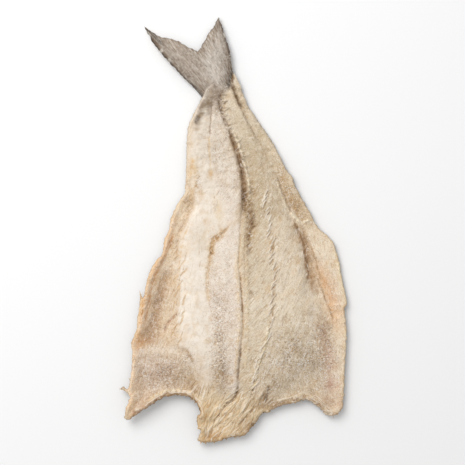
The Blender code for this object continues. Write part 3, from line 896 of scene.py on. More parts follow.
# %% Zones
ZONE_SOFT = 2 * MM
FLAP_SOFT = 4 * MM
BACKBONE_SOFT = 5 * MM
ZONE_WANDER = 1.5 * MM
ZONE_WANDER_SIZE = 8 * MM
NECK_TOP = (-23.8 * CM, -22.0 * CM)
NECK_LEFT = (-6.2 * CM, -5 * CM)
NECK_RIGHT = (4.6 * CM, 6 * CM)
FIBRE_ANGLES = {
    "left_outer": 76, "left_inner": 38, "right_inner": 50, "right_outer": 63,
    "left_flap": 68, "right_flap": 112, "neck": 54,
}


def zones(points):
    x, y = points.T
    middle, seam_l, seam_r = line_x(BACKBONE, y), line_x(SEAM_LEFT, y), line_x(SEAM_RIGHT, y)
    edge_l, edge_r = line_x(LOIN_EDGE_LEFT, y), line_x(LOIN_EDGE_RIGHT, y)
    wander = ZONE_WANDER * noise_at(points, ZONE_WANDER_SIZE, 12)

    def beyond(value, soft=ZONE_SOFT):
        return ease(-soft, soft, value)

    left = ease(-BACKBONE_SOFT, BACKBONE_SOFT, middle - x + wander)
    left_loin = left * beyond(x - edge_l + wander, FLAP_SOFT)
    right_loin = (1 - left) * beyond(edge_r - x + wander, FLAP_SOFT)
    low = 1 - ease(*NECK_TOP, y + 0.25 * x + 2 * wander)
    return {
        "left": left,
        "left_outer": left_loin * beyond(seam_l - x + wander),
        "left_inner": left_loin * beyond(x - seam_l - wander),
        "right_inner": right_loin * beyond(seam_r - x + wander),
        "right_outer": right_loin * beyond(x - seam_r - wander),
        "left_flap": left * beyond(edge_l - x - wander, FLAP_SOFT),
        "right_flap": (1 - left) * beyond(x - edge_r - wander, FLAP_SOFT),
        "neck": low * ease(*NECK_LEFT, x) * (1 - ease(*NECK_RIGHT, x)),
    }


# %% [markdown]
# ## Heights
# The underside and the cut side each get a height from a point's place, by the solid's own rules. What is
# finer than the solid's triangles comes on top: lumps, fibres, creases and the crust of salt.

# %% Height of the plain form
FIN_FROM = (17 * CM, 18 * CM)
SHARP_STEP_MM = 1.2
GENTLE_STEP_MM = 12
STEP_END = 0.9 * MM
GENTLE_RISE = (0.42, 0.52)
GENTLE_FALL = (0.66, 0.74)


def fin_share(points):
    """1 on the tail fin, 0 on the body. The step is sharp at the sides, gentle where the skin runs on."""
    distance, side, share = to_line(points, FIN_BASE, FAR)
    gentle = ease(*GENTLE_RISE, share) * (1 - ease(*GENTLE_FALL, share))
    step = (SHARP_STEP_MM + GENTLE_STEP_MM * gentle) * MM
    return ease(-step, STEP_END, -distance * side) * ease(*FIN_FROM, points[:, 1])


def body_thickness(points):
    """The loins' two domes, the flaps beside them and the groove between them."""
    x, y = points.T
    middle = line_x(BACKBONE, y)
    left = x < middle
    edge = np.where(left, line_x(LOIN_EDGE_LEFT, y), line_x(LOIN_EDGE_RIGHT, y))
    share = (x - middle) / (edge - middle) + 0.03 * noise_at(points, 11 * MM, 31)
    leftness = ease(-LOIN_BLEND, LOIN_BLEND, middle - x)
    loin = leftness * along_y(LOIN_LEFT_MM, y) + (1 - leftness) * along_y(LOIN_RIGHT_MM, y)
    flap = np.where(left, along_y(FLAP_LEFT_MM, y), along_y(FLAP_RIGHT_MM, y))
    shoulder = np.where(left, along_y(SHOULDER_LEFT, y), along_y(SHOULDER_RIGHT, y))
    dome = 1 - DOME_FALL * (share - DOME_TOP) ** 2
    thick = flap + (loin * dome - flap) * (1 - ease(1 - shoulder, 1 + shoulder, share))
    distance, _, _ = to_line(points, BACKBONE, 2 * CM)
    width = along_y(GROOVE_WIDTH_MM, y) * MM
    return MM * (thick - along_y(GROOVE_DEPTH_MM, y) * np.exp(-((distance / width) ** 2)))


def underside(points, edge, fin):
    y = points[:, 1]
    near_edge = (1 - ease(0, EDGE_LIFT_REACH, edge)) ** 2 * (1 + 0.3 * noise_at(points, 45 * MM, 27))
    right = ease(-5 * CM, 5 * CM, points[:, 0])
    edge_lift = along_y(LIFT_LEFT_MM, y) * (1 - right) + along_y(LIFT_RIGHT_MM, y) * right
    lift = MM * (along_y(STALK_LIFT_MM, y) + edge_lift * near_edge)
    root = points - metres(FIN_ROOT)
    spread = np.arctan2(root[:, 0], root[:, 1])
    lift += fin * FIN_WAVE * np.sin(FIN_WAVES * spread) * ease(0, 6 * CM, np.linalg.norm(root, axis=1))
    curl = CURL * np.exp(-((edge / CURL_REACH) ** 2)) * (1 - ease(8 * CM, 16 * CM, y)) * (1 - 0.7 * right)
    return lift + curl * (1 - fin)


def rounded(points, edge):
    right = ease(2 * CM, 8 * CM, points[:, 0])
    reach = EDGE_ROUND + (EDGE_ROUND_RIGHT - EDGE_ROUND) * right
    return np.sqrt(1 - (1 - np.clip(edge / reach, 0, 1)) ** 2)


# %% Height of the folds and cliffs
WOBBLE = 0.8 * MM
WOBBLE_SIZE = 6 * MM


def shaken(points):
    """The points moved about at two scales, for lines that wander as torn edges do."""
    return wobbled(wobbled(points, WOBBLE, WOBBLE_SIZE, 21), WOBBLE / 2, WOBBLE_SIZE / 2.5, 23)


def folded(points):
    moved = shaken(points)
    uneven = rough_at(points, 7 * MM, 25, 2)
    total = sum(
        height * stroke(moved, line, width * MM) * np.clip(1 + 1.3 * uneven * min(1, 2 / width), 0, 2)
        for line, width, height in FOLD_TABLE
    )
    chipped = 1 + 0.6 * uneven
    total += sum(height * scarp(moved, line, reach * MM) * chipped for line, reach, height in CLIFF_TABLE)
    total -= sum(depth * patch(points, *spot) for spot, depth, *_ in PITS)
    return MM * total


# %% Height of the fine relief
LUMP = (16 * MM, 0.6)
WRINKLE = (8 * MM, 0.22)
CRUST = (3.2 * MM, 0.13)
TAIL_WRINKLE = ((15 * MM, 6 * MM), 0.42)
PIT_SIZE = 3.0 * MM
PIT_DEPTH = 1.3
BROAD_FIBRE = ((34 * MM, 5.5 * MM), 0.34)
FINE_FIBRE = ((16 * MM, 2.8 * MM), 0.17)
FIBRE_CREASE = ((26 * MM, 6.0 * MM), -0.34)
FIBRE_STRENGTH = {
    "left_outer": 0.4, "left_inner": 0.4, "right_inner": 0.65, "right_outer": 0.7, "left_flap": 0.6,
    "right_flap": 0.5, "neck": 1.7,
}

# Ovals of rough, pitted flesh: strength, centre and half sizes in cm, angle in degrees.
PITTED = [
    (1, (2, 3.6), (0.7, 1.5), 0),
    (1.2, (2.5, 1.4), (0.6, 1), 0),
    (0.7, (2.2, -0.8), (0.5, 1.6), 0),
    (0.9, (-2, -0.8), (1.1, 0.4), 42),
    (0.9, (-3, -2.8), (0.35, 1.3), 0),
    (0.5, (-3.5, -6.4), (0.4, 2.4), 0),
    (0.9, (-2, -19.4), (1.1, 3.2), 0),
    (0.7, (-2, -15.2), (0.9, 2.2), 0),
    (0.4, (-1.6, -10.4), (1.4, 2.6), 0),
    (0.8, (-6.2, -17.9), (0.9, 0.9), 0),
    (0.5, (8, -17), (2.4, 3), 0),
    (0.6, (9, 3.4), (0.8, 1.4), 30),
    (0.7, (10.4, -2.6), (0.5, 2.6), 10),
    (0.8, (-5, 6.6), (0.6, 1.8), 0),
    (0.5, (-6.2, 3.6), (0.7, 1.2), 0),
    (0.5, (-10.4, -20.2), (4, 2.4), 0),
    (0.5, (13, -16.5), (1.6, 4.4), 0),
    (0.8, (-1.4, 17.2), (0.35, 1.6), 0),
    (0.9, (-0.7, 13.8), (0.35, 1.5), -20),
    (0.8, (0.9, 8.6), (0.4, 3.4), -14),
]


def pitted(points):
    return np.clip(sum(strength * patch(points, *oval) for strength, *oval in PITTED), 0, 1.2)


def layer(points, settings, seed, angle=0.0, kind=noise_at):
    size, height = settings
    return height * kind(turned(points, angle) if angle else points, size, seed)


def fine_relief(points, zone, rough):
    """Millimetres of lumps, fibres, creases and crust."""
    total = layer(points, LUMP, 2) + layer(points, WRINKLE, 5, kind=rough_at)
    total += layer(points, CRUST, 9, kind=rough_at) * (1 + 3 * rough)
    total += ease(1 * CM, 7 * CM, points[:, 1]) * layer(points, TAIL_WRINKLE, 19, 12.0, rough_at)
    from_tail = 1 - 0.6 * ease(3 * CM, 11 * CM, points[:, 1])
    for seed, (name, angle) in enumerate(FIBRE_ANGLES.items()):
        bent = wobbled(points, 1.6 * MM, 16 * MM, 70 + seed)
        fibres = layer(bent, BROAD_FIBRE, 40 + seed, angle) + layer(bent, FINE_FIBRE, 50 + seed, angle)
        fibres += layer(bent, FIBRE_CREASE, 60 + seed, angle, creases_at)
        total += FIBRE_STRENGTH[name] * zone[name] * from_tail * fibres
    pits = ease(0.05, 0.55, noise_at(points, PIT_SIZE, 17))
    pits = pits + 0.5 * ease(0.1, 0.5, noise_at(points, PIT_SIZE / 2, 18))
    return total - PIT_DEPTH * rough * pits


# %% [markdown]
# ## A sheet of triangles
# A Delaunay triangulation fills the outline with even triangles, small ones for the cut side and larger
# ones for the side that can't be seen. Both share the outline's points, so that they close into one body.

# %% Triangulation
TOP_STEP = 1.32 * MM
TAIL_STEP = 1.15 * MM
UNDER_STEP = 3.2 * MM
TAIL_FROM = 17.0 * CM
SHAKE = 0.16
CLEARANCE = 0.55
ROW = math.sin(math.pi / 3)
WELD = 1e-8


def hexagons(low, high, step, generator):
    """Points in staggered rows, each shaken a little."""
    rows, columns = int((high[1] - low[1]) / (step * ROW)) + 1, int((high[0] - low[0]) / step) + 1
    row, column = np.mgrid[0:rows, 0:columns]
    grid = np.column_stack([(column + 0.5 * (row % 2)).ravel(), row.ravel() * ROW]) * step + low
    return grid + generator.uniform(-SHAKE, SHAKE, grid.shape) * step


def filling(body_step, tail_step, seed):
    """Points inside the outline, closer together in the tail."""
    generator = np.random.default_rng(seed)
    low, high = RING.min(0), RING.max(0)
    body = hexagons(low, (high[0], TAIL_FROM), body_step, generator)
    tail = hexagons((low[0], TAIL_FROM), high, tail_step, generator)
    points = np.vstack([body, tail])
    points = points[inside(points, RING)]
    step = np.where(points[:, 1] < TAIL_FROM, body_step, tail_step)
    return points[from_outline(points) > CLEARANCE * step]


def triangles(inner):
    """Faces over the outline's points followed by the inner ones, all anticlockwise from above."""
    corners = np.vstack([RING, inner])
    outline = [list(range(len(RING)))]
    _, _, faces, origin, *_ = delaunay_2d_cdt([Vector(p) for p in corners], [], outline, 1, WELD)
    name = np.array([ids[0] for ids in origin])
    faces = name[np.array(faces)]
    a, b, c = (corners[faces[:, k]] for k in range(3))
    area = (b[:, 0] - a[:, 0]) * (c[:, 1] - a[:, 1]) - (b[:, 1] - a[:, 1]) * (c[:, 0] - a[:, 0])
    return np.where(area[:, None] > 0, faces, faces[:, ::-1])


top_inner = filling(TOP_STEP, TAIL_STEP, SEED)
under_inner = filling(UNDER_STEP, UNDER_STEP, SEED + 1)
TOP, UNDER = np.vstack([RING, top_inner]), np.vstack([RING, under_inner])
top_faces, under_faces = triangles(top_inner), triangles(under_inner)
print(len(top_faces), "triangles on the cut side and", len(under_faces), "underneath")

# %% Raise the sheet
top_edge, under_edge = from_outline(TOP), from_outline(UNDER)
top_edge[: len(RING)] = under_edge[: len(RING)] = 0
top_fin, under_fin = fin_share(TOP), fin_share(UNDER)
top_zone = zones(TOP)
top_rough = pitted(TOP) * (1 - top_fin)
fold_relief = folded(TOP)
fine = fine_relief(TOP, top_zone, top_rough)
flesh = body_thickness(TOP) + fold_relief + MM * fine
thick = np.maximum((1 - top_fin) * flesh + top_fin * FIN_THICKNESS, RIM_THICKNESS)
top_z = underside(TOP, top_edge, top_fin) + RIM_THICKNESS + (thick - RIM_THICKNESS) * rounded(TOP, top_edge)
under_z = underside(UNDER, under_edge, under_fin)
print("highest point", round(top_z.max() / MM, 1), "mm")

# %% [markdown]
# ## Painting the cut side
# Colour is laid down as on a model: first a ground for each part, then washes along lines and in ovals,
# such as the tan rim, the brown hollow of the left flap or the grey skin that runs from the fin onto the
# stalk. A few washes are painted shade and light: the fin's shadow on the tail strip, shadows beside the
# flakes and the frills, shade on the groove's wall and on the lower left face, and a highlight on the
# right edge. Last, hollows get a little darker and browner, partly as dirt and dried juices and partly as
# painted shade, and ridges get paler as a painted highlight. The colour is stored on the mesh, one for
# each point, and the material adds what is finer.

# %% Grounds
CREAM = srgb(237, 226, 212)
CREAM_INNER = srgb(239, 226, 212)
STRAW = srgb(217, 201, 176)
STRAW_OUTER = srgb(229, 214, 192)
FLAP_LEFT = srgb(228, 207, 180)
FLAP_RIGHT = srgb(236, 219, 194)
NECK = srgb(230, 209, 175)
PALE = srgb(250, 241, 226)
TAN = srgb(214, 176, 126)
BROWN = srgb(150, 122, 92)
OCHRE = srgb(212, 182, 140)
GROUNDS = {
    "left_outer": CREAM, "left_inner": CREAM_INNER, "right_inner": STRAW, "right_outer": STRAW_OUTER,
    "left_flap": FLAP_LEFT, "right_flap": FLAP_RIGHT, "neck": NECK,
}


def wash(colours, amount, colour):
    """Lays a colour over the others by an amount from 0 to 1 at each point."""
    share = np.clip(amount, 0, 1)[:, None]
    return colours * (1 - share) + np.array(colour) * share


def plain(points, colour):
    return np.tile(np.array(colour), (len(points), 1))


# %% Washes along lines: line, half width in mm, strength, colour
LINES |= {
    "left edge stain": [(-5.6, 10.2), (-5.9, 8.6), (-6.2, 7)],
    "second left edge stain": [(-5, 6.6), (-5.7, 5.4), (-6.2, 4)],
    "stalk's dark patch": [
        (-2.8, 18.6), (-3.6, 17.7), (-4.2, 16.9), (-4.7, 16.1), (-5.1, 15.5), (-5.4, 14.7),
    ],
    "neck's left rim": [(-4.7, -25.2), (-5, -27.2), (-4.4, -28.6), (-4.2, -29.8)],
    "neck's lower rim": [(-4.2, -29.8), (-2.2, -29.8), (-0.6, -29.4), (1.6, -29), (3, -27.6)],
    "loin's left arc": [(-5.9, 1.2), (-6.9, -0.8), (-7.4, -3.2), (-7.6, -6), (-7.6, -9.2), (-7.7, -11.6)],
    "left hollow's floor": [(-9.6, -7.4), (-10.3, -9.8), (-10.8, -12), (-11.5, -14.6), (-12, -16.2)],
    "left rim's crest": [
        (-7.8, 2.4), (-8.9, 0.2), (-9.8, -2.4), (-11, -5.2), (-12.2, -7.6), (-12.7, -10.5), (-13.2, -13.6),
        (-13.8, -16.4),
    ],
    "left rim's foot": [(-8.2, 0.2), (-9.1, -2.3), (-10.3, -5), (-11.4, -7.6), (-12, -10.5), (-12.6, -14)],
    "left lip": [
        (-9, 0.6), (-9.8, -2.2), (-11, -4.7), (-12.2, -7.4), (-13.2, -10.4), (-13.6, -13.6), (-14.2, -17),
    ],
    "membrane's crest": [
        (-14, -17.8), (-12.9, -17.2), (-11.9, -16.8), (-10.9, -16.8), (-9.9, -17), (-8.5, -17),
        (-7.3, -17.3),
    ],
    "membrane's stain": [(-12.9, -16.6), (-11.9, -16.2), (-10.9, -16.1), (-9.9, -16.4)],
    "second hollow line": [(10.1, -1.4), (11, -2.4), (11.4, -3.7), (11.8, -4.8), (12.1, -6), (12.5, -7.6)],
    "lower left face": [(-14.4, -26.2), (-12.6, -25.4), (-11.2, -24.6), (-9.9, -23.9)],
    "notch rim": [
        (-12.6, -25.4), (-11, -24.4), (-9.7, -23.6), (-8.4, -23.3), (-7.1, -23.2), (-6.2, -23.5),
        (-5.4, -24.1), (-4.8, -25.4), (-4.6, -27),
    ],
    "lower left notch": [
        (-9.9, -23.5), (-8.6, -23.5), (-7.2, -23.6), (-6, -23.9), (-5.2, -24.8), (-4.9, -26),
    ],
    "left lower rim": [(-14, -16), (-14.1, -18.4), (-14.2, -20.4), (-14.4, -22.6), (-14.8, -25.6)],
    "lower right edge": [
        (4.8, -25.3), (6.5, -24.6), (9, -24), (9.8, -23.7), (10.9, -23.9), (11.9, -24.5), (13.1, -25.7),
        (14.8, -25.8),
    ],
    "right edge": [
        (13.9, -1.6), (14.7, -4), (15.4, -7.7), (16, -10.4), (16, -16), (15.8, -22), (15.4, -25.2),
    ],
    "right strip": [(6.4, 8.8), (7.3, 6.4), (8.3, 4.2), (9.3, 2.4), (10.6, 1)],
    "skin on the stalk": [(-1.4, 21), (-1.8, 20.2), (-2.6, 18.9), (-3.7, 17.5), (-4.7, 16.2)],
    "skin by the tear": [(-1.5, 20.2), (-2, 18.8), (-2, 17.6), (-1.8, 16.4)],
}
STAINS = [
    ("groove floor", 4, 0.85, (170, 140, 106)),
    # painted shade on the groove's wall, the side that faces away from the lamp
    ("groove wall", 1, 0.6, (122, 96, 68)),
    ("groove floor", 1.4, 0.35, (140, 108, 76)),
    ("spine ridge", 1.5, 0.95, (240, 222, 190)),
    ("spine shadow", 2.2, 0.6, (184, 156, 120)),
    ("left hollow", 8, 0.6, (196, 165, 132)),
    ("left hollow's floor", 6.5, 0.7, (187, 152, 118)),
    ("left rim's crest", 4.4, 0.8, (230, 182, 128)),
    ("left rim's foot", 2.2, 0.7, (204, 150, 96)),
    ("left lip", 1.6, 0.6, (238, 214, 180)),
    ("left bank", 4, 0.2, (200, 166, 126)),
    ("left flap's fold", 2, 0.55, (190, 146, 116)),
    ("right hollow's floor", 4.4, 0.75, (196, 158, 118)),
    ("right hollow", 1.5, 0.85, (146, 106, 64)),
    ("second hollow line", 1.3, 0.7, (176, 136, 92)),
    ("right hollow's bank", 5, 0.45, (200, 168, 132)),
    ("strip edge", 2, 0.2, (196, 168, 130)),
    ("strip edge top", 1, 0.6, (146, 118, 84)),
    ("right strip", 5.5, 0.8, (196, 165, 124)),
    ("strip foot", 1.6, 0.6, (166, 132, 92)),
    ("strip lip", 1.1, 0.7, (242, 228, 198)),
    ("torn bank", 2, 0.8, (246, 231, 202)),
    ("right flap's crease", 1.1, 0.7, (168, 132, 94)),
    ("crevice", 5, 0.5, (230, 204, 162)),
    ("crevice", 2.8, 0.35, (210, 172, 122)),
    ("left seam", 4, 0.4, (228, 202, 164)),
    ("left seam", 1.7, 0.35, (210, 176, 130)),
    ("right seam", 1.6, 0.65, (186, 156, 112)),
    ("low ridge", 2, 0.85, (241, 224, 186)),
    ("backbone", 3.6, 0.4, (228, 206, 170)),
    ("backbone", 1, 0.5, (196, 156, 104)),
    ("backbone crack", 0.9, 0.9, (154, 110, 62)),
    ("backbone gash", 1.2, 0.6, (140, 112, 80)),
    ("second backbone line", 1, 0.5, (172, 140, 100)),
    ("tail piece's fold", 1.8, 0.5, (214, 190, 156)),
    # painted shade in the crease where the fin lies over the tail strip
    ("crease under the fin", 3, 0.8, (104, 82, 58)),
    ("skin by the tear", 4, 0.75, (152, 134, 116)),
    ("skin on the stalk", 10, 0.95, (147, 130, 114)),
    ("stalk valley", 4, 0.5, (130, 112, 96)),
    ("stalk ridge", 1.6, 0.6, (226, 210, 194)),
    ("stalk's dark patch", 3.8, 1, (106, 90, 74)),
    ("strip shadow", 2.8, 0.95, (116, 90, 60)),
    ("stalk crease", 1, 0.75, (146, 120, 92)),
    ("torn skin", 1.6, 0.5, (132, 106, 78)),
    ("membrane's crest", 5, 0.4, (238, 226, 214)),
    ("membrane's stain", 1.6, 0.4, (206, 172, 132)),
    ("torn corner", 2.6, 0.45, (178, 144, 104)),
    ("lower left fold", 2.2, 0.8, (232, 208, 172)),
    # the lower left face's own tan, darkened as painted shade where the face turns down, away from the lamp
    ("lower left face", 7, 1, (174, 132, 94)),
    ("lower left notch", 4.2, 0.85, (190, 154, 106)),
    ("left lower rim", 5, 0.8, (248, 218, 184)),
    ("lower right edge", 2.4, 0.8, (162, 130, 94)),
    ("lower right fold", 1.6, 0.5, (226, 204, 176)),
    # painted highlight: pale cream over the rim's own cream on the right edge, so it looks lit where the lamp
    # leaves its rounding in shade
    ("right edge", 2.4, 0.85, (246, 226, 190)),
    ("neck pit", 2.2, 0.65, (132, 106, 76)),
    ("first gap", 1.3, 0.7, (142, 110, 72)),
    ("second gap", 1.3, 0.7, (142, 110, 72)),
    ("third gap", 1.2, 0.35, (166, 134, 96)),
    ("neck border", 1.5, 0.7, (146, 114, 76)),
    ("first strand", 1.6, 0.5, (228, 206, 170)),
    ("second strand", 1.6, 0.6, (232, 210, 174)),
    ("third strand", 1.6, 0.7, (238, 216, 182)),
    ("neck's left rim", 3.4, 0.65, (212, 176, 122)),
    ("neck's lower rim", 3.4, 0.7, (190, 150, 98)),
    ("loin's left arc", 1.3, 0.65, (216, 182, 134)),
    ("backbone's left lip", 1.7, 0.65, (234, 208, 168)),
    ("backbone's right lip", 1.4, 0.45, (226, 202, 156)),
    ("notch rim", 3, 0.8, (172, 134, 90)),
    ("notch frill", 1.6, 0.8, (238, 214, 172)),
    ("right frill", 1.2, 0.4, (228, 204, 166)),
    ("long crease", 1.2, 0.6, (212, 180, 134)),
    ("left edge stain", 2.4, 0.55, (218, 178, 122)),
    ("second left edge stain", 2, 0.45, (216, 176, 120)),
]

# %% Washes in ovals: centre, half sizes in cm, angle in degrees, strength, colour
OVALS = [
    ((-3.2, 12.4), (3.6, 6.4), 0, 0.85, (214, 200, 182)),
    ((5.8, 9.5), (1.3, 5.5), 32, 0.75, (203, 184, 154)),
    ((0.9, 18.6), (0.45, 2.6), 22, 0.7, (190, 168, 132)),
    ((-4.2, 17.9), (0.7, 0.9), -30, 0.5, (150, 133, 115)),
    ((3, 13.5), (3, 5), -30, 0.8, (202, 185, 157)),
    ((2.6, 4.8), (1.6, 4), -10, 0.6, (192, 171, 138)),
    ((8.2, 5.4), (1.2, 4.2), 28, 0.6, (196, 172, 136)),
    ((2.5, 1.4), (0.6, 1.1), 0, 0.6, (150, 120, 86)),
    ((2.8, 3.4), (0.35, 0.5), 0, 0.5, (140, 112, 78)),
    ((2, 3.6), (0.9, 1.9), 0, 0.6, (172, 140, 100)),
    ((2.2, -0.8), (0.45, 1.5), 0, 0.7, (160, 130, 92)),
    ((2.2, -3.4), (0.3, 0.5), 0, 0.5, (140, 112, 80)),
    ((13, -7.2), (1, 2.8), 20, 0.95, (221, 178, 134)),
    ((14.2, -10.8), (0.9, 2.8), 10, 0.95, (222, 176, 130)),
    ((12.8, -14.8), (0.7, 2.4), 4, 0.75, (186, 150, 124)),
    ((13.6, -18.4), (1, 2.4), 0, 0.6, (200, 160, 140)),
    ((13.8, -22), (1.2, 1.4), 0, 0.7, (200, 160, 140)),
    ((9.4, -17.8), (2.8, 3.4), 0, 0.7, (190, 171, 144)),
    ((11.6, -19.2), (1.4, 1.8), 0, 0.6, (172, 150, 124)),
    ((7.4, -14.2), (1, 1.6), 0, 0.5, (188, 166, 134)),
    ((-11, -20.6), (3.6, 2.8), 0, 0.85, (206, 182, 162)),
    ((-9.8, -20.2), (2.6, 1.8), 0, 0.65, (182, 156, 134)),
    ((-6.4, -20.8), (1.8, 2.2), 0, 0.7, (186, 162, 132)),
    ((-1.9, -19.8), (1.3, 2.9), 0, 0.85, (176, 152, 122)),
    ((-2, -16), (1.2, 1.6), 0, 0.6, (206, 186, 158)),
    ((-9.4, -14.6), (1.4, 1.8), 0, 0.6, (230, 204, 172)),
    ((-13.3, -16), (0.8, 1.2), 0, 0.85, (226, 176, 124)),
    ((-5, -16.5), (2.4, 2.2), 30, 0.4, (240, 228, 212)),
    ((-5.6, 8.6), (0.7, 1.4), 0, 0.5, (220, 190, 146)),
    ((-3.2, 8), (0.35, 0.6), 0, 0.7, (210, 174, 128)),
    ((-6, 5.2), (0.6, 1.6), 0, 0.3, (214, 180, 134)),
    ((-2, 2.6), (0.6, 2.2), 10, 0.5, (224, 198, 158)),
    ((-4.2, -25.7), (1.2, 1.6), 0, 0.8, (232, 200, 154)),
    ((-3.2, -29.2), (2.2, 0.8), 0, 0.8, (196, 158, 110)),
    ((2.6, -27.4), (1, 1.4), 50, 0.75, (176, 146, 106)),
    ((3.4, -24.4), (1.3, 1.2), 50, 0.5, (196, 168, 126)),
    ((6.6, -24.4), (1.6, 0.8), 0, 0.7, (160, 134, 100)),
    ((-8, -21.4), (1.2, 0.9), 0, 0.5, (176, 150, 122)),
    ((-12.4, -23.4), (1.6, 1.4), 0, 0.5, (206, 178, 148)),
    ((6.4, -22), (2.6, 2), 0, 0.6, (196, 176, 146)),
    ((10.4, -22.6), (2.6, 1.6), 0, 0.6, (190, 168, 138)),
    ((13.6, -24), (1.6, 1.4), 0, 0.6, (198, 168, 140)),
    ((4.4, -16.8), (1.6, 3.4), -8, 0.5, (198, 180, 152)),
    ((4.2, 3.6), (1.9, 2.6), -12, 0.75, (196, 176, 145)),
    ((2.4, 8), (1.1, 2.6), -15, 0.6, (196, 175, 142)),
    ((-4.5, -1.5), (1.7, 2.2), 0, 0.75, (221, 206, 186)),
    ((-1.9, -25.6), (1.4, 1.3), 0, 0.6, (246, 224, 188)),
    ((4.7, 7.8), (1.4, 4), 25, 0.5, (190, 170, 140)),
    ((8.2, -0.4), (1.2, 2.6), 0, 0.45, (190, 168, 138)),
    ((10.6, 1.2), (1, 1), 0, 0.6, (196, 170, 130)),
    ((1.5, -1.9), (0.8, 1.6), 0, 0.35, (200, 176, 140)),
    ((11.7, -5.2), (0.9, 1.6), 15, 0.4, (222, 194, 160)),
    ((-1.9, -8.7), (1.4, 2.2), 0, 0.4, (246, 234, 222)),
    ((14.6, -12.2), (0.9, 1.6), 0, 0.5, (246, 214, 176)),
    ((-12, -15.4), (1.4, 1.4), 0, 0.7, (190, 146, 104)),
    ((-12.1, -18.9), (1.6, 1.4), 0, 0.7, (236, 216, 198)),
    ((-8.7, -18.9), (1.5, 1.3), 0, 0.35, (226, 206, 186)),
    ((-8.7, -21.9), (1.5, 1.2), 0, 0.4, (190, 164, 134)),
    ((-5.3, -22.2), (1.3, 1.6), 0, 0.85, (178, 148, 112)),
    ((-1.9, -22), (1.3, 1.2), 0, 0.4, (186, 160, 128)),
    ((4.8, -20.4), (1.2, 2.4), 0, 0.35, (184, 160, 128)),
    ((-12.7, -24.6), (1.3, 1), 30, 0.5, (188, 150, 112)),
    ((12.3, -24.6), (1.4, 0.9), 0, 0.5, (180, 146, 108)),
    ((1, -28), (1.6, 1), 0, 0.5, (180, 146, 102)),
    ((-1, -15.8), (1.4, 2.4), 0, 0.5, (246, 236, 222)),
    ((5.8, 3), (1.5, 2.4), -15, 0.6, (196, 176, 144)),
    ((-11.3, -6.2), (0.8, 2.2), 25, 0.5, (238, 208, 170)),
    ((-7.6, 3.2), (0.8, 1.8), 25, 0.5, (240, 220, 192)),
    ((2.6, -11), (1.6, 2.4), 0, 0.4, (238, 225, 204)),
    ((6, -11.2), (1.6, 2.6), 0, 0.35, (238, 225, 204)),
    ((9, 3.4), (1.1, 1.6), 30, 0.5, (186, 154, 112)),
    ((15, -24.6), (1, 1.4), 0, 0.5, (206, 170, 136)),
    ((2.6, -1.4), (1, 1.8), 0, 0.4, (196, 170, 132)),
    ((2.4, -20.6), (1.2, 2), 0, 0.55, (198, 172, 134)),
    ((-4.4, -20.8), (1.3, 1.6), 0, 0.45, (212, 188, 158)),
    ((4.9, -24.6), (1.5, 1.1), 0, 0.65, (164, 134, 98)),
    ((4.5, -23.2), (0.9, 1.3), 0, 0.5, (180, 150, 114)),
    ((9, -23.7), (1.9, 0.6), 0, 0.5, (188, 162, 128)),
    ((7.9, 4.3), (0.25, 0.6), 30, 0.6, (160, 126, 86)),
    ((8.7, 3.6), (0.25, 0.4), 0, 0.6, (150, 114, 72)),
    ((8.1, 2.9), (0.2, 0.5), 0, 0.6, (150, 116, 78)),
    ((9.7, 1.8), (0.45, 0.3), 0, 0.55, (164, 130, 90)),
    ((-4, -19), (1.4, 2.4), 0, 0.4, (222, 206, 186)),
    ((12.2, -13.8), (0.7, 2.2), 6, 0.6, (176, 148, 120)),
    ((-1.3, -11), (1.9, 4.5), 0, 0.55, (237, 223, 208)),
    ((2.9, -13), (1.9, 4.6), 0, 0.5, (231, 217, 195)),
    ((8.4, -11.5), (1.8, 3.6), 0, 0.4, (229, 213, 186)),
    ((-5, 15.2), (0.7, 1.7), -12, 0.6, (172, 152, 130)),
]

# %% [markdown]
# ## Painting the fin
# A fin is a thin skin on a fan of rays. The colour follows the rays, so each point of the fin first gets
# two numbers: how far across the fan it is, from the left edge to the right, and how far out along its ray.

# %% Fan of the fin
RAY_FEET = [(-4.3, 18.4), (-3.7, 19.6), (-2.8, 20.2), (-1.8, 20.2), (-1.1, 20.8), (-0.6, 21.7), (-0.2, 22.6)]
FAN_ACROSS = 240
FAN_OUT = 90
FAN_FROM = -0.4
FAN_TO = 1.15
LEAST_AREA = 1e-12


def along_rail(rail, share):
    return np.column_stack([np.interp(share, np.linspace(0, 1, len(rail)), rail[:, axis]) for axis in (0, 1)])


def fan_places(points):
    """How far across the fan and out along the rays each point is, from the nearest quad of a net of rays."""
    feet, tips = smooth_line(metres(RAY_FEET), LINE_STEP), smooth_line(metres(FIN_REAR), LINE_STEP)
    grid = np.meshgrid(np.linspace(0, 1, FAN_ACROSS), np.linspace(FAN_FROM, FAN_TO, FAN_OUT))
    across, out = (part.ravel() for part in grid)
    foot, tip = along_rail(feet, across), along_rail(tips, across)
    net = foot + (tip - foot) * out[:, None]
    count = FAN_ACROSS
    quads = [(i, i + 1, i + count + 1, i + count) for i in range(count * (FAN_OUT - 1)) if (i + 1) % count]
    tree = BVHTree.FromPolygons([(x, y, 0) for x, y in net], quads)
    near = [tree.find_nearest((x, y, 0)) for x, y in points]
    corner = np.array([quads[hit[2]][0] for hit in near])
    at = np.array([hit[0][:2] for hit in near])
    step_u, step_v = net[corner + 1] - net[corner], net[corner + count] - net[corner]
    offset = at - net[corner]
    area = step_u[:, 0] * step_v[:, 1] - step_u[:, 1] * step_v[:, 0]
    area = np.where(np.abs(area) < LEAST_AREA, LEAST_AREA, area)
    part_u = np.clip((offset[:, 0] * step_v[:, 1] - offset[:, 1] * step_v[:, 0]) / area, 0, 1)
    part_v = np.clip((step_u[:, 0] * offset[:, 1] - step_u[:, 1] * offset[:, 0]) / area, 0, 1)
    du, dv = 1 / (FAN_ACROSS - 1), (FAN_TO - FAN_FROM) / (FAN_OUT - 1)
    return np.column_stack([across[corner] + part_u * du, out[corner] + part_v * dv])


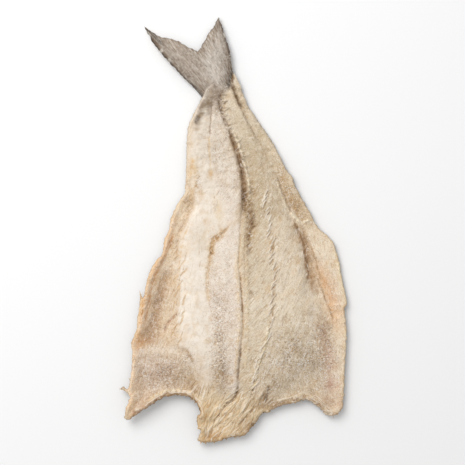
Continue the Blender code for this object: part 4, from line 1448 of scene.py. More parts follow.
# %% Fin colours
FIN_GREY = srgb(172, 158, 144)
FIN_PALE = srgb(218, 209, 199)
FIN_BROWN = srgb(120, 104, 89)
FIN_DARK = srgb(74, 62, 51)
FIN_LEFT = [(-12.6, 28.8), (-11.3, 26.5), (-10.3, 25.2), (-7.4, 21.9), (-5, 19.7), (-4.4, 18.9)]
FIN_RIGHT = [(-2, 30), (-1.1, 27), (-0.5, 24.8), (-0.1, 22.6), (-0.4, 21.2)]
FIN_EDGES_AND_SHADOW = [
    (FIN_LEFT, 11, 0.5, FIN_BROWN),
    (FIN_RIGHT, 10, 0.65, FIN_BROWN),
    (FIN_REAR, 2, 0.5, FIN_BROWN),
    ([(-0.3, 24), (-0.3, 22.4), (-0.8, 21)], 6, 0.7, FIN_BROWN),
    # painted shadow where the fin's right corner lies over the tail strip
    ([(0.1, 22.8), (-0.1, 21.8), (-0.3, 21), (-0.6, 20.3)], 3.4, 0.95, FIN_DARK),
    (FIN_LEFT, 2.2, 0.95, FIN_DARK),
    (FIN_RIGHT, 1.8, 0.85, FIN_DARK),
    ([(-12.6, 28.8), (-11.4, 27.6), (-10.2, 26.4)], 3, 0.7, FIN_DARK),
    ([(-12.5, 28.7), (-11, 27.6), (-9.6, 27)], 1.4, 0.6, FIN_BROWN),
    ([(-2, 30.1), (-1.9, 28.8)], 3, 0.6, FIN_BROWN),
]
FIN_SPOTS = [
    (0.8, (-2.8, 22.6), (1.2, 2.4), 10, FIN_PALE),
    (0.65, (-1.9, 25.4), (1.1, 3), -6, FIN_PALE),
    (0.25, (-2.2, 24.2), (1.2, 1.4), 0, FIN_BROWN),
    (0.4, (-4.4, 26.6), (1.3, 1), 0, FIN_BROWN),
    (0.4, (-0.9, 22.6), (0.7, 1.8), 0, FIN_BROWN),
]


def fin_painted(points, fan):
    streaks = 0.5 * noise_at(fan, (0.012, 0.12), 101) + 0.5 * noise_at(fan, (0.04, 0.2), 103)
    streaks += 0.35 * rough_at(points, 5 * MM, 105)
    colours = plain(points, FIN_GREY)
    for strength, centre, half_size, angle, colour in FIN_SPOTS:
        colours = wash(colours, strength * patch(points, centre, half_size, angle), colour)
    colours = wash(colours, 0.6 * ease(0.05, 0.6, streaks), FIN_PALE)
    colours = wash(colours, 0.65 * ease(-0.05, -0.6, streaks), FIN_BROWN)
    for line, half_width, strength, colour in FIN_EDGES_AND_SHADOW:
        colours = wash(colours, strength * stroke_to_ends(points, line, half_width * MM), colour)
    return colours


def stroke_to_ends(points, line, half_width):
    distance, _, _ = to_line(points, line, 4 * half_width)
    return np.exp(-((distance / half_width) ** 2))


# %% Lay the colours
RIM_WIDTH = 4.0 * MM
RIM_TAN = srgb(224, 192, 146)
SKIN_GREY = srgb(162, 145, 129)
NARROW_MM = 2.0
FLAKE_WIDTH = 1.0 * MM
# Painted shadows and highlights beside the flakes, streaks and frills: their strengths and how far the
# shadows are moved.
FLAKE_SHADE = 0.4
STREAK_SHADE = 0.8
FLAKE_HIGHLIGHT = 0.55
FLAKE_SHADOW_SHIFT = np.array([-1.4 * MM, 0.9 * MM])
FRILL_SHADOW_SHIFT = np.array([0.0, 1.7 * MM])
SKIN_BORDER = [
    (0.3, 23.4), (-0.2, 21.6), (-0.5, 20.8), (-1, 19.9), (-1.7, 19), (-1.9, 17.9), (-1.7, 16.9),
    (-1.4, 15.8),
]


def cut_side_painted(points, zone, edge, fin, folds, fine_mm):
    colours = plain(points, CREAM_INNER)
    for name, colour in GROUNDS.items():
        colours = wash(colours, zone[name], colour)
    patchy = rough_at(points, 20 * MM, 80, 3)
    streaky = rough_at(turned(wobbled(points, 5 * MM, 30 * MM, 82), 74), (40 * MM, 9 * MM), 83, 3)
    colours = wash(colours, 0.35 * ease(0.1, 1.0, patchy), TAN)
    colours = wash(colours, 0.25 * ease(0.1, 0.8, streaky), OCHRE)
    colours = wash(colours, 0.35 * ease(-0.1, -1.0, patchy) * zone["left"], PALE)
    rim = np.exp(-((edge / RIM_WIDTH) ** 2)) * ease(12 * CM, 6 * CM, points[:, 1])
    colours = wash(colours, rim * (0.5 + 0.3 * patchy), RIM_TAN)
    moved = shaken(points)
    blotted = 1 + 0.6 * rough_at(points, 7 * MM, 86, 2)
    broken = np.clip(0.9 + 1.5 * rough_at(points, 5 * MM, 88, 2), 0, 1.2)
    grey = ease(17.0 * CM, 19.4 * CM, points[:, 1] + 0.5 * (points[:, 0] + 2.4 * CM) + 3 * MM * patchy)
    grey *= 1 - ease(-2.4 * MM, 0, skin_side(points))
    colours = wash(colours, 0.85 * grey, SKIN_GREY)
    for centre, half_size, angle, strength, colour in OVALS:
        colours = wash(colours, strength * patch(moved, centre, half_size, angle) * blotted, srgb(*colour))
    for name, half_width, strength, colour in STAINS:
        amount = strength * stroke(moved, LINES[name], half_width * MM)
        colours = wash(colours, amount * (broken if half_width < NARROW_MM else blotted), srgb(*colour))
    # Painted shadows: tan strokes beside the streaks and brown strokes beside the flakes and frills, moved to
    # the side away from the lamp; and a pale painted highlight along each flake's top.
    for line in STREAK_LINES:
        colours = wash(colours, STREAK_SHADE * stroke(moved + FLAKE_SHADOW_SHIFT, line, FLAKE_WIDTH), TAN)
    for line in FLAKE_LINES:
        colours = wash(colours, FLAKE_SHADE * stroke(moved + FLAKE_SHADOW_SHIFT, line, FLAKE_WIDTH), BROWN)
        colours = wash(colours, FLAKE_HIGHLIGHT * stroke(moved, line, FLAKE_WIDTH), PALE)
    for line, *_ in FRILL_TABLE:
        colours = wash(colours, FLAKE_SHADE * stroke(moved + FRILL_SHADOW_SHIFT, line, FLAKE_WIDTH), BROWN)
    for (centre, half_size, angle), _, strength, colour in PITS:
        colours = wash(colours, strength * patch(points, centre, half_size, angle), srgb(*colour))
    # Painted shade and highlight: hollows darker and browner, partly dirt and dried juices and partly painted
    # shade; ridges paler as a painted highlight.
    hollow = ease(0.1, 1.6, -folds / MM) * 0.16 + ease(0.15, 1.1, -fine_mm) * 0.4
    hollow *= 1 - 0.4 * zone["neck"]
    raised = ease(0.2, 0.9, fine_mm) * 0.4 + ease(0.4, 2.0, folds / MM) * 0.2
    colours = wash(colours, hollow * zone["left_outer"], OCHRE)
    colours = wash(colours, hollow * (1 - zone["left_outer"]), BROWN)
    return wash(colours, raised, PALE)


def skin_side(points):
    """Signed distance from the right border of the grey skin: negative on the skin."""
    distance, side, _ = to_line(points, SKIN_BORDER, FAR)
    return -distance * side


fan = np.zeros((len(TOP), 2))
on_fin = np.flatnonzero(top_fin > 0)
fan[on_fin] = fan_places(TOP[on_fin])
top_colour = cut_side_painted(TOP, top_zone, top_edge, top_fin, fold_relief, fine)
fin_colour = fin_painted(TOP[on_fin], fan[on_fin])
share = top_fin[on_fin, None]
top_colour[on_fin] = top_colour[on_fin] * (1 - share) + fin_colour * share
print("mean colour", top_colour.mean(0).round(3))

# %% [markdown]
# ## The skin underneath
# The side that lies on the table is the fish's own back with its skin on. A cod's skin is olive grey with
# small darker spots and a pale line along each flank.

# %% Underside colours
SKIN = srgb(150, 138, 120)
SKIN_PALE = srgb(188, 176, 156)
SKIN_SPOT = srgb(112, 98, 80)


def skin_painted(points, fin):
    x, y = points.T
    from_back = np.abs(x - line_x(BACKBONE, y))
    colours = wash(plain(points, SKIN), 0.8 * ease(3 * CM, 11 * CM, from_back), SKIN_PALE)
    colours = wash(colours, 0.7 * ease(0.25, 0.6, rough_at(points, 11 * MM, 90, 2)), SKIN_SPOT)
    flank = np.abs(from_back - 4.6 * CM + 0.1 * (y + 10 * CM))
    colours = wash(colours, 0.75 * np.exp(-((flank / (2.6 * MM)) ** 2)), SKIN_PALE)
    return wash(colours, fin, FIN_GREY)


under_colour = skin_painted(UNDER, under_fin)

# %% [markdown]
# ## One closed body
# The cut side, the underside and the rim between them become one mesh. Beside the colour it stores what the
# material and the grown pieces need: how rough a point is, how salty, how strongly fibres show, and the
# fibres' angle.

# %% Masks
SALTY = [
    (0.8, (-10.6, -20.6), (4.4, 3), 0),
    (0.4, (-10.8, -11.5), (1.2, 4.6), -12),
    (0.7, (-2.2, -18), (1.8, 4.6), 0),
    (0.8, (12.6, -19.4), (3, 4.6), 0),
    (0.6, (8.6, -17.6), (3.4, 4), 0),
    (0.5, (-2.4, -9), (1.6, 6), 0),
    (0.6, (8.4, 5.2), (1.4, 5), 28),
    (0.4, (-2, 12), (2.4, 5), 0),
    (0.5, (5.6, -20), (3, 4), 0),
]


def salty(points, fin):
    spots = sum(strength * patch(points, *oval) for strength, *oval in SALTY)
    drifts = 0.3 + 0.7 * ease(-0.5, 0.6, rough_at(points, 12 * MM, 97, 3))
    bare = ("groove floor", "groove pits", "skin on the stalk", "stalk's dark patch", "right hollow")
    groove = sum(stroke(points, LINES[name], 6 * MM) for name in bare)
    return np.clip((0.3 + spots) * drifts - groove, 0, 1) * (1 - 0.8 * fin)


SLANTS = {
    "steep": {"left_outer": 0.3, "left_flap": 0.7, "right_outer": 0.7},
    "leaning": {"left_inner": 0.4, "right_inner": 0.7, "neck": 0.9},
    "back": {"right_flap": 0.6},
}


def slant_share(zone, shares, fin):
    smoother_tail = 1 - 0.6 * ease(6 * CM, 13 * CM, TOP[:, 1])
    total = sum(share * zone[name] for name, share in shares.items())
    return np.clip(total, 0, 1) * (1 - fin) * smoother_tail


FIBROUS = {
    "left_outer": 0.12, "left_inner": 0.15, "right_inner": 0.4, "right_outer": 0.45, "left_flap": 0.3,
    "right_flap": 0.15, "neck": 0.5,
}


def fibrous(zone, fin, edge):
    """How thickly fibres stand, from 0 to 1, in drifts with thinner places between them."""
    drifts = 0.35 + 0.65 * ease(-0.3, 0.5, rough_at(TOP, 24 * MM, 95, 2))
    total = sum(share * zone[name] for name, share in FIBROUS.items())
    from_tail = 1 - 0.85 * ease(3 * CM, 10 * CM, TOP[:, 1])
    return np.clip(total * drifts, 0, 1) * (1 - fin) * from_tail * ease(2 * MM, 5 * MM, edge)


FLAKY = [
    (LINES["right seam"], 3.2, 1),
    (LINES["low ridge"], 2.4, 0.7),
    (LINES["loose row"], 2.6, 0.8),
    ([(3.6, 4.6), (4.4, 2.6), (5.2, 0.4)], 4, 0.9),
    (LINES["right hollow"], 3.4, 0.9),
    ([(-7.4, -6), (-7.7, -9), (-7.9, -12), (-8.2, -15)], 3.4, 0.8),
    ([(-2.4, 6.4), (-2.6, 4), (-3.2, 1.6)], 4, 0.5),
]
CRUMBLY_LINES = ("lower left notch", "lower right edge", "torn skin", "groove pits", "crevice")


def flaky(points):
    """How thickly the edges of torn flakes stand."""
    return np.clip(sum(share * stroke(points, line, width * MM) for line, width, share in FLAKY), 0, 1)


NECK_GAPS = ("neck border", "first gap", "second gap")


def stringy(points, zone, edge):
    amount = zone["neck"] * (0.6 + 0.6 * rough_at(points, 14 * MM, 96, 2))
    gaps = sum(stroke(points, LINES[name], 2.2 * MM) for name in NECK_GAPS)
    return np.clip(amount, 0, 1) * np.clip(1 - gaps, 0, 1) * ease(3 * MM, 8 * MM, edge)


def crumbly(rough, zone, edge):
    """Loose crumbs lie in the pits and along the torn head edge."""
    torn = 0.7 * zone["neck"] * (1 - ease(1 * MM, 6 * MM, edge)) * ease(0.4 * MM, 1.4 * MM, edge)
    frayed = sum(stroke(TOP, LINES[name], 3 * MM) for name in CRUMBLY_LINES) * ease(1 * MM, 3 * MM, edge)
    return np.clip(rough**2 + torn + 0.5 * frayed, 0, 1)


def fibre_angle(zone):
    weight = sum(zone[name] for name in FIBRE_ANGLES) + 1e-6
    return sum(zone[name] * math.radians(angle) for name, angle in FIBRE_ANGLES.items()) / weight


# %% Mesh
def closed_mesh(name):
    count = len(TOP)
    ring = np.arange(len(RING))
    ahead = np.roll(ring, -1)
    points = np.vstack([np.column_stack([TOP, top_z]), np.column_stack([UNDER, under_z])])
    upper_wall = np.column_stack([ahead, ring, count + ring])
    lower_wall = np.column_stack([ahead, count + ring, count + ahead])
    faces = np.vstack([top_faces, under_faces[:, ::-1] + count, upper_wall, lower_wall])
    data = bpy.data.meshes.new(name)
    data.from_pydata(points.tolist(), [], faces.tolist())
    data.shade_smooth()
    return data


def store(data, name, kind, values):
    attribute = data.attributes.new(name, kind, "POINT")
    field = {"FLOAT_COLOR": "color", "FLOAT_VECTOR": "vector"}.get(kind, "value")
    attribute.data.foreach_set(field, np.asarray(values, np.float32).ravel())


def both(top_values, under_value=0.0):
    return np.concatenate([top_values, np.full(len(UNDER), under_value)])


def place_in_scene(name, data):
    piece = bpy.data.objects.new(name, data)
    bpy.context.scene.collection.objects.link(piece)
    return piece


data = closed_mesh("cod")
colours = np.vstack([top_colour, under_colour])
store(data, "paint", "FLOAT_COLOR", np.column_stack([colours, np.ones(len(colours))]))
store(data, "fan", "FLOAT_VECTOR", np.column_stack([both(fan[:, 0]), both(fan[:, 1]), both(top_fin)]))
masks = {
    "rough": top_rough,
    "salty": salty(TOP, top_fin),
    **{name: slant_share(top_zone, shares, top_fin) for name, shares in SLANTS.items()},
    "crusty": 0.7 * top_zone["left_inner"] * ease(-2 * CM, -14 * CM, TOP[:, 1]) * (1 - top_fin),
    "calm": 0.65 * top_zone["left_outer"] * (1 - top_fin),
    "angle": fibre_angle(top_zone),
    "fibrous": fibrous(top_zone, top_fin, top_edge),
    "flaky": flaky(TOP),
    "stringy": stringy(TOP, top_zone, top_edge),
    "crumbly": crumbly(top_rough, top_zone, top_edge),
}
for name, values in masks.items():
    store(data, name, "FLOAT", both(values))
cod = place_in_scene("cod", data)
print("cod has", len(data.polygons), "triangles")

# %% [markdown]
# ## Material of the flesh
# Fine streaks follow the fibres. Noise on Object coordinates that is turned and drawn out does that, once
# for each of the three main slants, and each streak shows only where its mask says so. The same streaks
# drive the colour and the bump, so that what looks dark is also sunk.

# %% Flesh
def flesh_material():
    flesh = Finish("dried_flesh")
    steep = flesh.noise(1.7 * MM, flesh.place(70, 5.0), detail=3.0) - 0.5
    leaning = flesh.noise(1.7 * MM, flesh.place(47, 4.5), detail=3.0) - 0.5
    back = flesh.noise(1.8 * MM, flesh.place(112, 4.0), detail=3.0) - 0.5
    streaks = steep * flesh.attribute("steep") + leaning * flesh.attribute("leaning")
    streaks = streaks + back * flesh.attribute("back")
    grain = flesh.noise(1.3 * MM, detail=3.0) - 0.5
    mottle = flesh.noise(8 * MM, detail=4.0) - 0.5
    rough = flesh.attribute("rough")
    salty = flesh.attribute("salty")
    salt = flesh.noise(1.5 * MM, detail=1.0).ramp(0.56, 0.68) * salty
    fin = flesh.attribute("fan", output="Vector")
    fan_across = flesh.node("ShaderNodeVectorMath", {"operation": "MULTIPLY"}, [fin, (130.0, 7.0, 0.0)])
    on_fin = flesh.others(flesh.node("ShaderNodeSeparateXYZ", {}, [fin]), "Z")[0]
    rays = flesh.node("ShaderNodeTexNoise", {}, {"Vector": fan_across, "Scale": 1.0, "Detail": 3.0})
    rays = (rays - 0.5) * on_fin

    worm = flesh.noise(3.4 * MM, detail=1.0) - 0.5
    crust = (worm * worm).ramp(0.0022, 0.0) * (flesh.attribute("crusty") + rough * 0.5)
    paint = flesh.attribute("paint", output="Color")
    speck = flesh.noise(2.6 * MM, detail=4.0) - 0.5
    clefts = flesh.clefts(72) * flesh.attribute("steep") + flesh.clefts(48) * flesh.attribute("leaning")
    clefts = (clefts + flesh.clefts(112) * flesh.attribute("back")) * mottle.ramp(-0.1, 0.1)
    relief = streaks * 1.2 + grain * (1.35 - 1.0 * on_fin) + rays * 2.4 - crust * 0.12 - clefts * 0.25
    relief = relief * (1 - flesh.attribute("calm"))
    colour = flesh.stained(paint, (mottle * -1.0).ramp(0.0, 0.22) * 0.26, (218, 192, 146))
    colour = flesh.dusted(colour, mottle.ramp(0.02, 0.25) * 0.16, (252, 248, 240))
    colour = flesh.stained(colour, (relief * -1.0).ramp(0.0, 0.3) * 0.43, (196, 166, 126))
    colour = flesh.dusted(colour, relief.ramp(0.04, 0.3) * 0.38, (253, 246, 232))
    colour = flesh.stained(colour, (speck * -1.0).ramp(0.0, 0.2) * salty * 0.7, (200, 172, 140))
    colour = flesh.dusted(colour, speck.ramp(0.03, 0.2) * salty * 0.5, (252, 246, 236))
    colour = flesh.stained(colour, clefts * 0.4, (196, 164, 122))
    colour = flesh.stained(colour, crust * 0.55, (206, 176, 140))
    colour = flesh.stained(colour, (grain * -1.0).ramp(0.05, 0.2) * rough * 0.7, (120, 92, 62))
    colour = flesh.dusted(colour, salt * 0.55, (250, 247, 243))
    height = relief * (1 + rough) + speck * salty * 1.2 + salt * 0.25
    normal = flesh.bump(height, 0.55 * MM, 0.9)
    return flesh.done(
        {"Base Color": colour, "Roughness": 0.8 - 0.3 * salt, "Specular IOR Level": 0.35, "Normal": normal}
    )


cod.data.materials.append(flesh_material())

# %% [markdown]
# ## Growing small pieces
# Rays, fibres, strands and salt repeat hundreds of times, so Geometry Nodes make them. Each tree gets its
# sizes as named inputs. The small shapes are made flat, on the plane z = 0, and are then draped: a ray is
# cast down from above each point, and the point keeps its own height above the flesh that the ray meets.

# %% Growth
SOCKETS = {float: "NodeSocketFloat", int: "NodeSocketInt", bpy.types.Object: "NodeSocketObject"}
ABOVE = 0.2


class Growth(Graph):
    """A Geometry Nodes tree with named sizes."""

    def __init__(self, name, sizes):
        super().__init__(bpy.data.node_groups.new(name, "GeometryNodeTree"))
        self.sizes = sizes
        face = self.tree.interface
        face.new_socket(name="Geometry", in_out="OUTPUT", socket_type="NodeSocketGeometry")
        face.new_socket(name="Geometry", in_out="INPUT", socket_type="NodeSocketGeometry")
        face.new_socket(name="Material", in_out="INPUT", socket_type="NodeSocketMaterial")
        for label, value in sizes.items():
            face.new_socket(name=label, in_out="INPUT", socket_type=SOCKETS[type(value)])
        self.entry = self.tree.nodes.new("NodeGroupInput")

    def size(self, label):
        return Value(self, self.entry.outputs[label])

    def position(self):
        return self.node("GeometryNodeInputPosition")

    def split(self, vector):
        return self.others(self.node("ShaderNodeSeparateXYZ", {}, [vector]), "X", "Y", "Z")

    def joined(self, x, y, z):
        return self.node("ShaderNodeCombineXYZ", {}, [x, y, z])

    def random(self, low, high, seed):
        sockets = {2: low, 3: high, 8: seed}
        return self.node("FunctionNodeRandomValue", {"data_type": "FLOAT"}, sockets, output=1)

    def named(self, name, kind="FLOAT"):
        return self.node("GeometryNodeInputNamedAttribute", {"data_type": kind}, {"Name": name})

    def keep(self, geometry, name, value, kind="FLOAT"):
        settings = {"data_type": kind, "domain": "POINT"}
        sockets = {"Geometry": geometry, "Name": name, "Value": value}
        return self.node("GeometryNodeStoreNamedAttribute", settings, sockets)

    def strewn(self, density):
        """Points scattered over the host, so many for each square metre."""
        sockets = {"Mesh": self.size("Geometry"), "Density": density, "Seed": self.size("Seed")}
        return self.node("GeometryNodeDistributePointsOnFaces", {}, sockets)

    def moved(self, geometry, position):
        return self.node("GeometryNodeSetPosition", {}, {"Geometry": geometry, "Position": position})

    def spindle(self, curve, radius, sides):
        """A tube along a curve that is thin at both ends."""
        along = self.node("GeometryNodeSplineParameter", output="Factor")
        belly = self.maths("POWER", self.maths("SINE", along * math.pi, 0.0), 0.7) * radius
        circle = self.node("GeometryNodeCurvePrimitiveCircle", {}, {"Resolution": sides, "Radius": 1.0})
        sockets = {"Curve": curve, "Profile Curve": circle, "Scale": belly + 1e-5, "Fill Caps": True}
        return self.node("GeometryNodeCurveToMesh", {}, sockets)

    def draped(self, geometry, bed):
        """The geometry laid on the bed, with the bed's colour kept on it."""
        x, y, z = self.split(self.position())
        sockets = {"Target Geometry": bed, "Attribute": self.named("paint", "FLOAT_COLOR")}
        sockets |= {"Source Position": self.joined(x, y, ABOVE), "Ray Direction": (0, 0, -1)}
        sockets |= {"Ray Length": 2 * ABOVE}
        ray = self.node("GeometryNodeRaycast", {"data_type": "FLOAT_COLOR"}, sockets, output="Attribute")
        met, hit = self.others(ray, "Is Hit", "Hit Position")
        paint = self.chosen(met, self.named("root_paint", "FLOAT_COLOR"), ray, "RGBA")
        painted = self.keep(geometry, "paint", paint, "FLOAT_COLOR")
        ground = self.chosen(met, self.named("root_height"), self.split(hit)[2], "FLOAT")
        return self.moved(painted, self.joined(x, y, ground + z))

    def chosen(self, which, otherwise, wanted, kind):
        sockets = {"Switch": which, "False": otherwise, "True": wanted}
        return self.node("GeometryNodeSwitch", {"input_type": kind}, sockets)

    def grow(self, name, geometry, host, material):
        """Ends the tree, runs it on a copy of the host, and returns a plain mesh object."""
        geometry = self.node("GeometryNodeRealizeInstances", {}, {"Geometry": geometry})
        smooth = self.node("GeometryNodeSetShadeSmooth", {}, {"Geometry": geometry, "Shade Smooth": True})
        sockets = {"Geometry": smooth, "Material": self.size("Material")}
        done = self.node("GeometryNodeSetMaterial", {}, sockets)
        leave = self.tree.nodes.new("NodeGroupOutput")
        self.tree.links.new(done.socket, leave.inputs["Geometry"])
        helper = place_in_scene(name + "_bed", host.data.copy())
        modifier = helper.modifiers.new(name, "NODES")
        modifier.node_group = self.tree
        wanted = {"Material": material, **self.sizes}
        for item in self.tree.interface.items_tree:
            if item.in_out == "INPUT" and item.name in wanted:
                modifier[item.identifier] = wanted[item.name]
        evaluated = helper.evaluated_get(bpy.context.evaluated_depsgraph_get())
        piece = place_in_scene(name, bpy.data.meshes.new_from_object(evaluated))
        bpy.data.objects.remove(helper)
        print(name, "has", len(piece.data.polygons), "faces")
        return piece


# %% [markdown]
# ## Rays of the fin
# A ray starts at the foot of the fin and runs out to its rear edge. Two rails, one along the feet and one
# along the tips, carry any number of rays between them.

# %% Fin rays
RAY_SIZES = {"Rays": 90, "Steps": 22, "Thickness": 0.30 * MM, "Sunk": 0.14 * MM}


def rails(name, lines):
    """A curve object with one spline for each line."""
    curve = bpy.data.curves.new(name, "CURVE")
    curve.dimensions = "3D"
    for line in lines:
        spline = curve.splines.new("POLY")
        points = smooth_line(metres(line), LINE_STEP)
        spline.points.add(len(points) - 1)
        height, weight = np.zeros(len(points)), np.ones(len(points))
        spline.points.foreach_set("co", np.column_stack([points, height, weight]).ravel())
    return place_in_scene(name, curve)


def fin_rays(material):
    feet, tips = rails("feet", [RAY_FEET]), rails("tips", [FIN_REAR])
    rays = Growth("fin_rays", {**RAY_SIZES, "Feet": feet, "Tips": tips})
    line = rays.node("GeometryNodeCurvePrimitiveLine")
    line = rays.node("GeometryNodeResampleCurve", {}, {"Curve": line, "Count": rays.size("Steps")})
    sockets = {"Geometry": line, "Amount": rays.size("Rays")}
    fanned = rays.node("GeometryNodeDuplicateElements", {"domain": "SPLINE"}, sockets)
    index = rays.others(fanned, "Duplicate Index")[0]
    sockets = {2: 0.0, 3: 1.0, 7: index, 8: SEED}
    aside = rays.node("FunctionNodeRandomValue", {"data_type": "FLOAT"}, sockets, output=1)
    across = rays.maths("DIVIDE", index + aside, rays.size("Rays"))
    out = rays.node("GeometryNodeSplineParameter", output="Factor") * 0.95 + 0.03
    ends = []
    for name in ("Feet", "Tips"):
        curve = rays.node("GeometryNodeObjectInfo", {}, {"Object": rays.size(name)}, output="Geometry")
        settings, sockets = {"mode": "FACTOR", "use_all_curves": True}, {"Curves": curve, "Factor": across}
        ends.append(rays.node("GeometryNodeSampleCurve", settings, sockets, output="Position"))
    place = rays.node("ShaderNodeMix", {"data_type": "VECTOR"}, {0: out, 4: ends[0], 5: ends[1]}, output=1)
    laid = rays.moved(fanned, place)
    tubes = rays.spindle(laid, rays.size("Thickness"), 5)
    x, y, z = rays.split(rays.position())
    tubes = rays.moved(tubes, rays.joined(x, y, z - rays.size("Sunk")))
    piece = rays.grow("fin_rays", rays.draped(tubes, rays.size("Geometry")), cod, material)
    for helper in (feet, tips):
        bpy.data.objects.remove(helper)
    return piece


# %% [markdown]
# ## Fibres and slivers
# Where the knife and the drying have torn the muscle, thin fibres stand out of it, all along the muscle's
# own direction. Points are scattered over the cut side by a density, each gets a thin spindle that is
# turned to the fibres' angle, and the spindles are half sunk by draping.

# %% Slivers
def sliver_sizes(density, long, wide, high, turn, seed):
    """Density for each square metre, three sizes in mm, and how far a sliver may turn, in radians."""
    sizes = {"Density": density, "Length": long * MM, "Width": wide * MM, "Height": high * MM}
    return {**sizes, "Turn": turn, "Seed": seed}


FIBRE_SIZES = sliver_sizes(4.0e4, 15, 1.0, 0.40, 0.16, SEED)
FLAKE_SIZES = sliver_sizes(6.0e4, 8, 2.0, 1.3, 0.2, SEED + 2)
STRAND_SIZES = sliver_sizes(4.5e4, 16, 3.2, 1.6, 0.35, SEED + 3)
CRUMB_SIZES = sliver_sizes(1.3e5, 5.2, 2.2, 1.4, 1.6, SEED + 4)


def slivers(name, sizes, mask, material):
    grown = Growth(name, sizes)
    bed = grown.size("Geometry")
    points = grown.strewn(grown.size("Density") * grown.named(mask))
    x, y, z = grown.split(grown.position())
    points = grown.keep(points, "root_height", z)
    points = grown.keep(points, "root_paint", grown.named("paint", "FLOAT_COLOR"), "FLOAT_COLOR")
    points = grown.keep(points, "tint", grown.random(0.0, 1.0, 11))
    points = grown.moved(points, grown.joined(x, y, 0.0))
    line = grown.node("GeometryNodeCurvePrimitiveLine", {}, {"Start": (-0.5, 0, 0), "End": (0.5, 0, 0)})
    line = grown.node("GeometryNodeResampleCurve", {}, {"Curve": line, "Count": 6})
    shape = grown.spindle(line, 0.5, 6)
    turn = grown.named("angle") + grown.random(-1.0, 1.0, 12) * grown.size("Turn")
    long = grown.size("Length") * grown.random(0.5, 1.4, 13)
    wide = grown.size("Width") * grown.random(0.5, 1.4, 14)
    high = grown.size("Height") * grown.random(0.4, 1.5, 15)
    placing = {"Points": points, "Instance": shape, "Rotation": grown.joined(0.0, 0.0, turn)}
    placing |= {"Scale": grown.joined(long, wide, high)}
    placed = grown.node("GeometryNodeInstanceOnPoints", {}, placing)
    placed = grown.node("GeometryNodeRealizeInstances", {}, {"Geometry": placed})
    return grown.grow(name, grown.draped(placed, bed), cod, material)


# %% [markdown]
# ## Hooks, threads and puckers
# Where two muscles meet, the ends of their layers stand up in a row of short hooks. The torn edge of the
# right piece is puckered, and loose threads lie along the frayed head edge. Each of these lines becomes a
# curve, and each curve a thin tube that is laid on the flesh. Brown tubes just right of and below every
# second hook are painted shadows, on the side away from the lamp; brown tubes between the neck's strands
# are the gaps, their own brown deepened as painted shade, and some of the threads are brown too.

# %% Hooks
HOOK_SIZES = {"Radius": 0.8 * MM, "Sunk": 0.25 * MM, "Tint": 0.95, "Right": 0.0, "Down": 0.0}
FRILL_SIZES = {"Radius": 1.4 * MM, "Sunk": 0.95 * MM, "Tint": 0.75, "Right": 0.0, "Down": 0.0}
# Brown tubes: painted shadows beside the hooks, and gaps between the neck's strands darkened as painted
# shade.
SHADOW_AND_GAP_SIZES = {"Radius": 0.7 * MM, "Sunk": 0.4 * MM, "Tint": -0.38, "Right": 1.2 * MM, "Down": 0.8 * MM}


def hooks(name, lines, sizes, material):
    path = rails(name + "_path", lines)
    row = Growth(name, {**sizes, "Path": path})
    curve = row.node("GeometryNodeObjectInfo", {}, {"Object": row.size("Path")}, output="Geometry")
    tubes = row.spindle(curve, row.size("Radius"), 6)
    tubes = row.keep(tubes, "tint", row.size("Tint"))
    x, y, z = row.split(row.position())
    tubes = row.moved(tubes, row.joined(x + row.size("Right"), y - row.size("Down"), z - row.size("Sunk")))
    piece = row.grow(name, row.draped(tubes, row.size("Geometry")), cod, material)
    bpy.data.objects.remove(path)
    return piece


# %% [markdown]
# ## Salt
# Coarse salt stays on the fish as small clear-white crystals. They are tumbled cubes, a dozen faces each,
# and most of them lie in the salty patches and drifts, and few in the groove and on the stalk's skin.

# %% Salt grains
SALT_SIZES = {"Density": 1.2e5, "Size": 0.8 * MM, "Seed": SEED + 1}


def salt_grains(material):
    salt = Growth("salt_grains", SALT_SIZES)
    points = salt.strewn(salt.size("Density") * salt.named("salty") * salt.named("salty"))
    cube = salt.node("GeometryNodeMeshCube", {}, {"Size": (1.0, 0.8, 0.7)})
    tumble = [salt.random(0.0, math.tau, seed) for seed in (1, 2, 3)]
    size = salt.size("Size") * salt.random(0.5, 1.35, 4)
    placing = {"Points": points, "Instance": cube, "Rotation": salt.joined(*tumble)}
    placing |= {"Scale": salt.joined(size, size, size)}
    return salt.grow("salt_grains", salt.node("GeometryNodeInstanceOnPoints", {}, placing), cod, material)


# %% [markdown]
# ## Finishes of the grown pieces
# Fibres take the colour of the flesh that they lie on, a little paler or browner from one to the next. Rays
# are horn, and salt is clear and shiny.

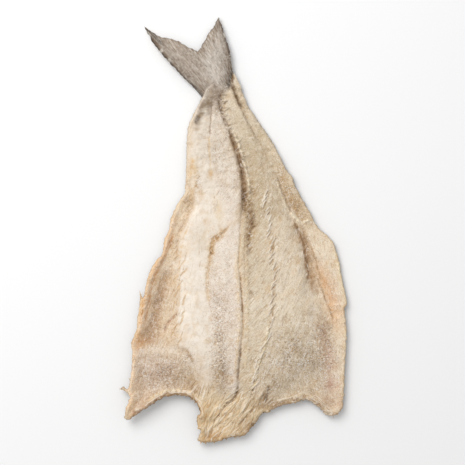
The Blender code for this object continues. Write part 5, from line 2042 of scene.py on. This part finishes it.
# %% Small finishes
def fibre_material():
    fibre = Finish("dried_fibre")
    paint, tint = fibre.attribute("paint", output="Color"), fibre.attribute("tint")
    colour = fibre.dusted(paint, tint.ramp(0.5, 1.0) * 0.45, (252, 246, 236))
    colour = fibre.stained(colour, tint.ramp(0.35, 0.0) * 0.5, (214, 186, 146))
    # A negative tint stains a tube brown: the painted shadows beside the hooks and the gaps.
    colour = fibre.stained(colour, tint.ramp(0.0, -1.0) * 0.8, (158, 122, 80))
    grain = fibre.noise(1.2 * MM)
    colour = fibre.stained(colour, grain.ramp(0.55, 0.35) * 0.3, (210, 184, 146))
    return fibre.done({"Base Color": colour, "Roughness": 0.72, "Normal": fibre.bump(grain, 0.2 * MM)})


def ray_material():
    horn = Finish("fin_ray_horn")
    paint = horn.attribute("paint", output="Color")
    streak = horn.noise(2.5 * MM, detail=3.0)
    colour = horn.dusted(paint, streak.ramp(0.45, 0.7) * 0.5, (214, 204, 192))
    colour = horn.stained(colour, streak.ramp(0.5, 0.3) * 0.5, (150, 132, 114))
    return horn.done({"Base Color": colour, "Roughness": 0.5})


def salt_material():
    salt = Finish("sea_salt")
    cloudy = salt.noise(0.8 * MM)
    colour = salt.mix(cloudy, srgb(238, 232, 224), srgb(255, 253, 250))
    return salt.done({"Base Color": colour, "Roughness": 0.25, "Specular IOR Level": 0.6})


# %% Grow everything
EDGE_THREADS = threads_beside("notch rim", 44, SEED + 6) + threads_beside("lower right edge", 36, SEED + 7)
# Every second hook gets a painted shadow tube; the neck's gaps and every second thread are brown tubes too.
SHADOW_AND_GAP_LINES = FLAKE_LINES[::2] + [LINES[name] for name in NECK_GAPS] + EDGE_THREADS[1::2]
fibre_finish = fibre_material()
grown = [
    fin_rays(ray_material()),
    slivers("muscle_fibres", FIBRE_SIZES, "fibrous", fibre_finish),
    slivers("flake_edges", FLAKE_SIZES, "flaky", fibre_finish),
    hooks("seam_hooks", FLAKE_LINES, HOOK_SIZES, fibre_finish),
    hooks("edge_threads", EDGE_THREADS[::2], HOOK_SIZES, fibre_finish),
    hooks("puckers", STREAK_LINES + [line for line, *_ in FRILL_TABLE], FRILL_SIZES, fibre_finish),
    hooks("seam_gaps", SHADOW_AND_GAP_LINES, SHADOW_AND_GAP_SIZES, fibre_finish),
    slivers("neck_strands", STRAND_SIZES, "stringy", fibre_finish),
    slivers("crumbs", CRUMB_SIZES, "crumbly", fibre_finish),
    salt_grains(salt_material()),
]

# %% Hand over
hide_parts(NODE)
for piece in [cod, *grown]:
    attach(piece, BODY)
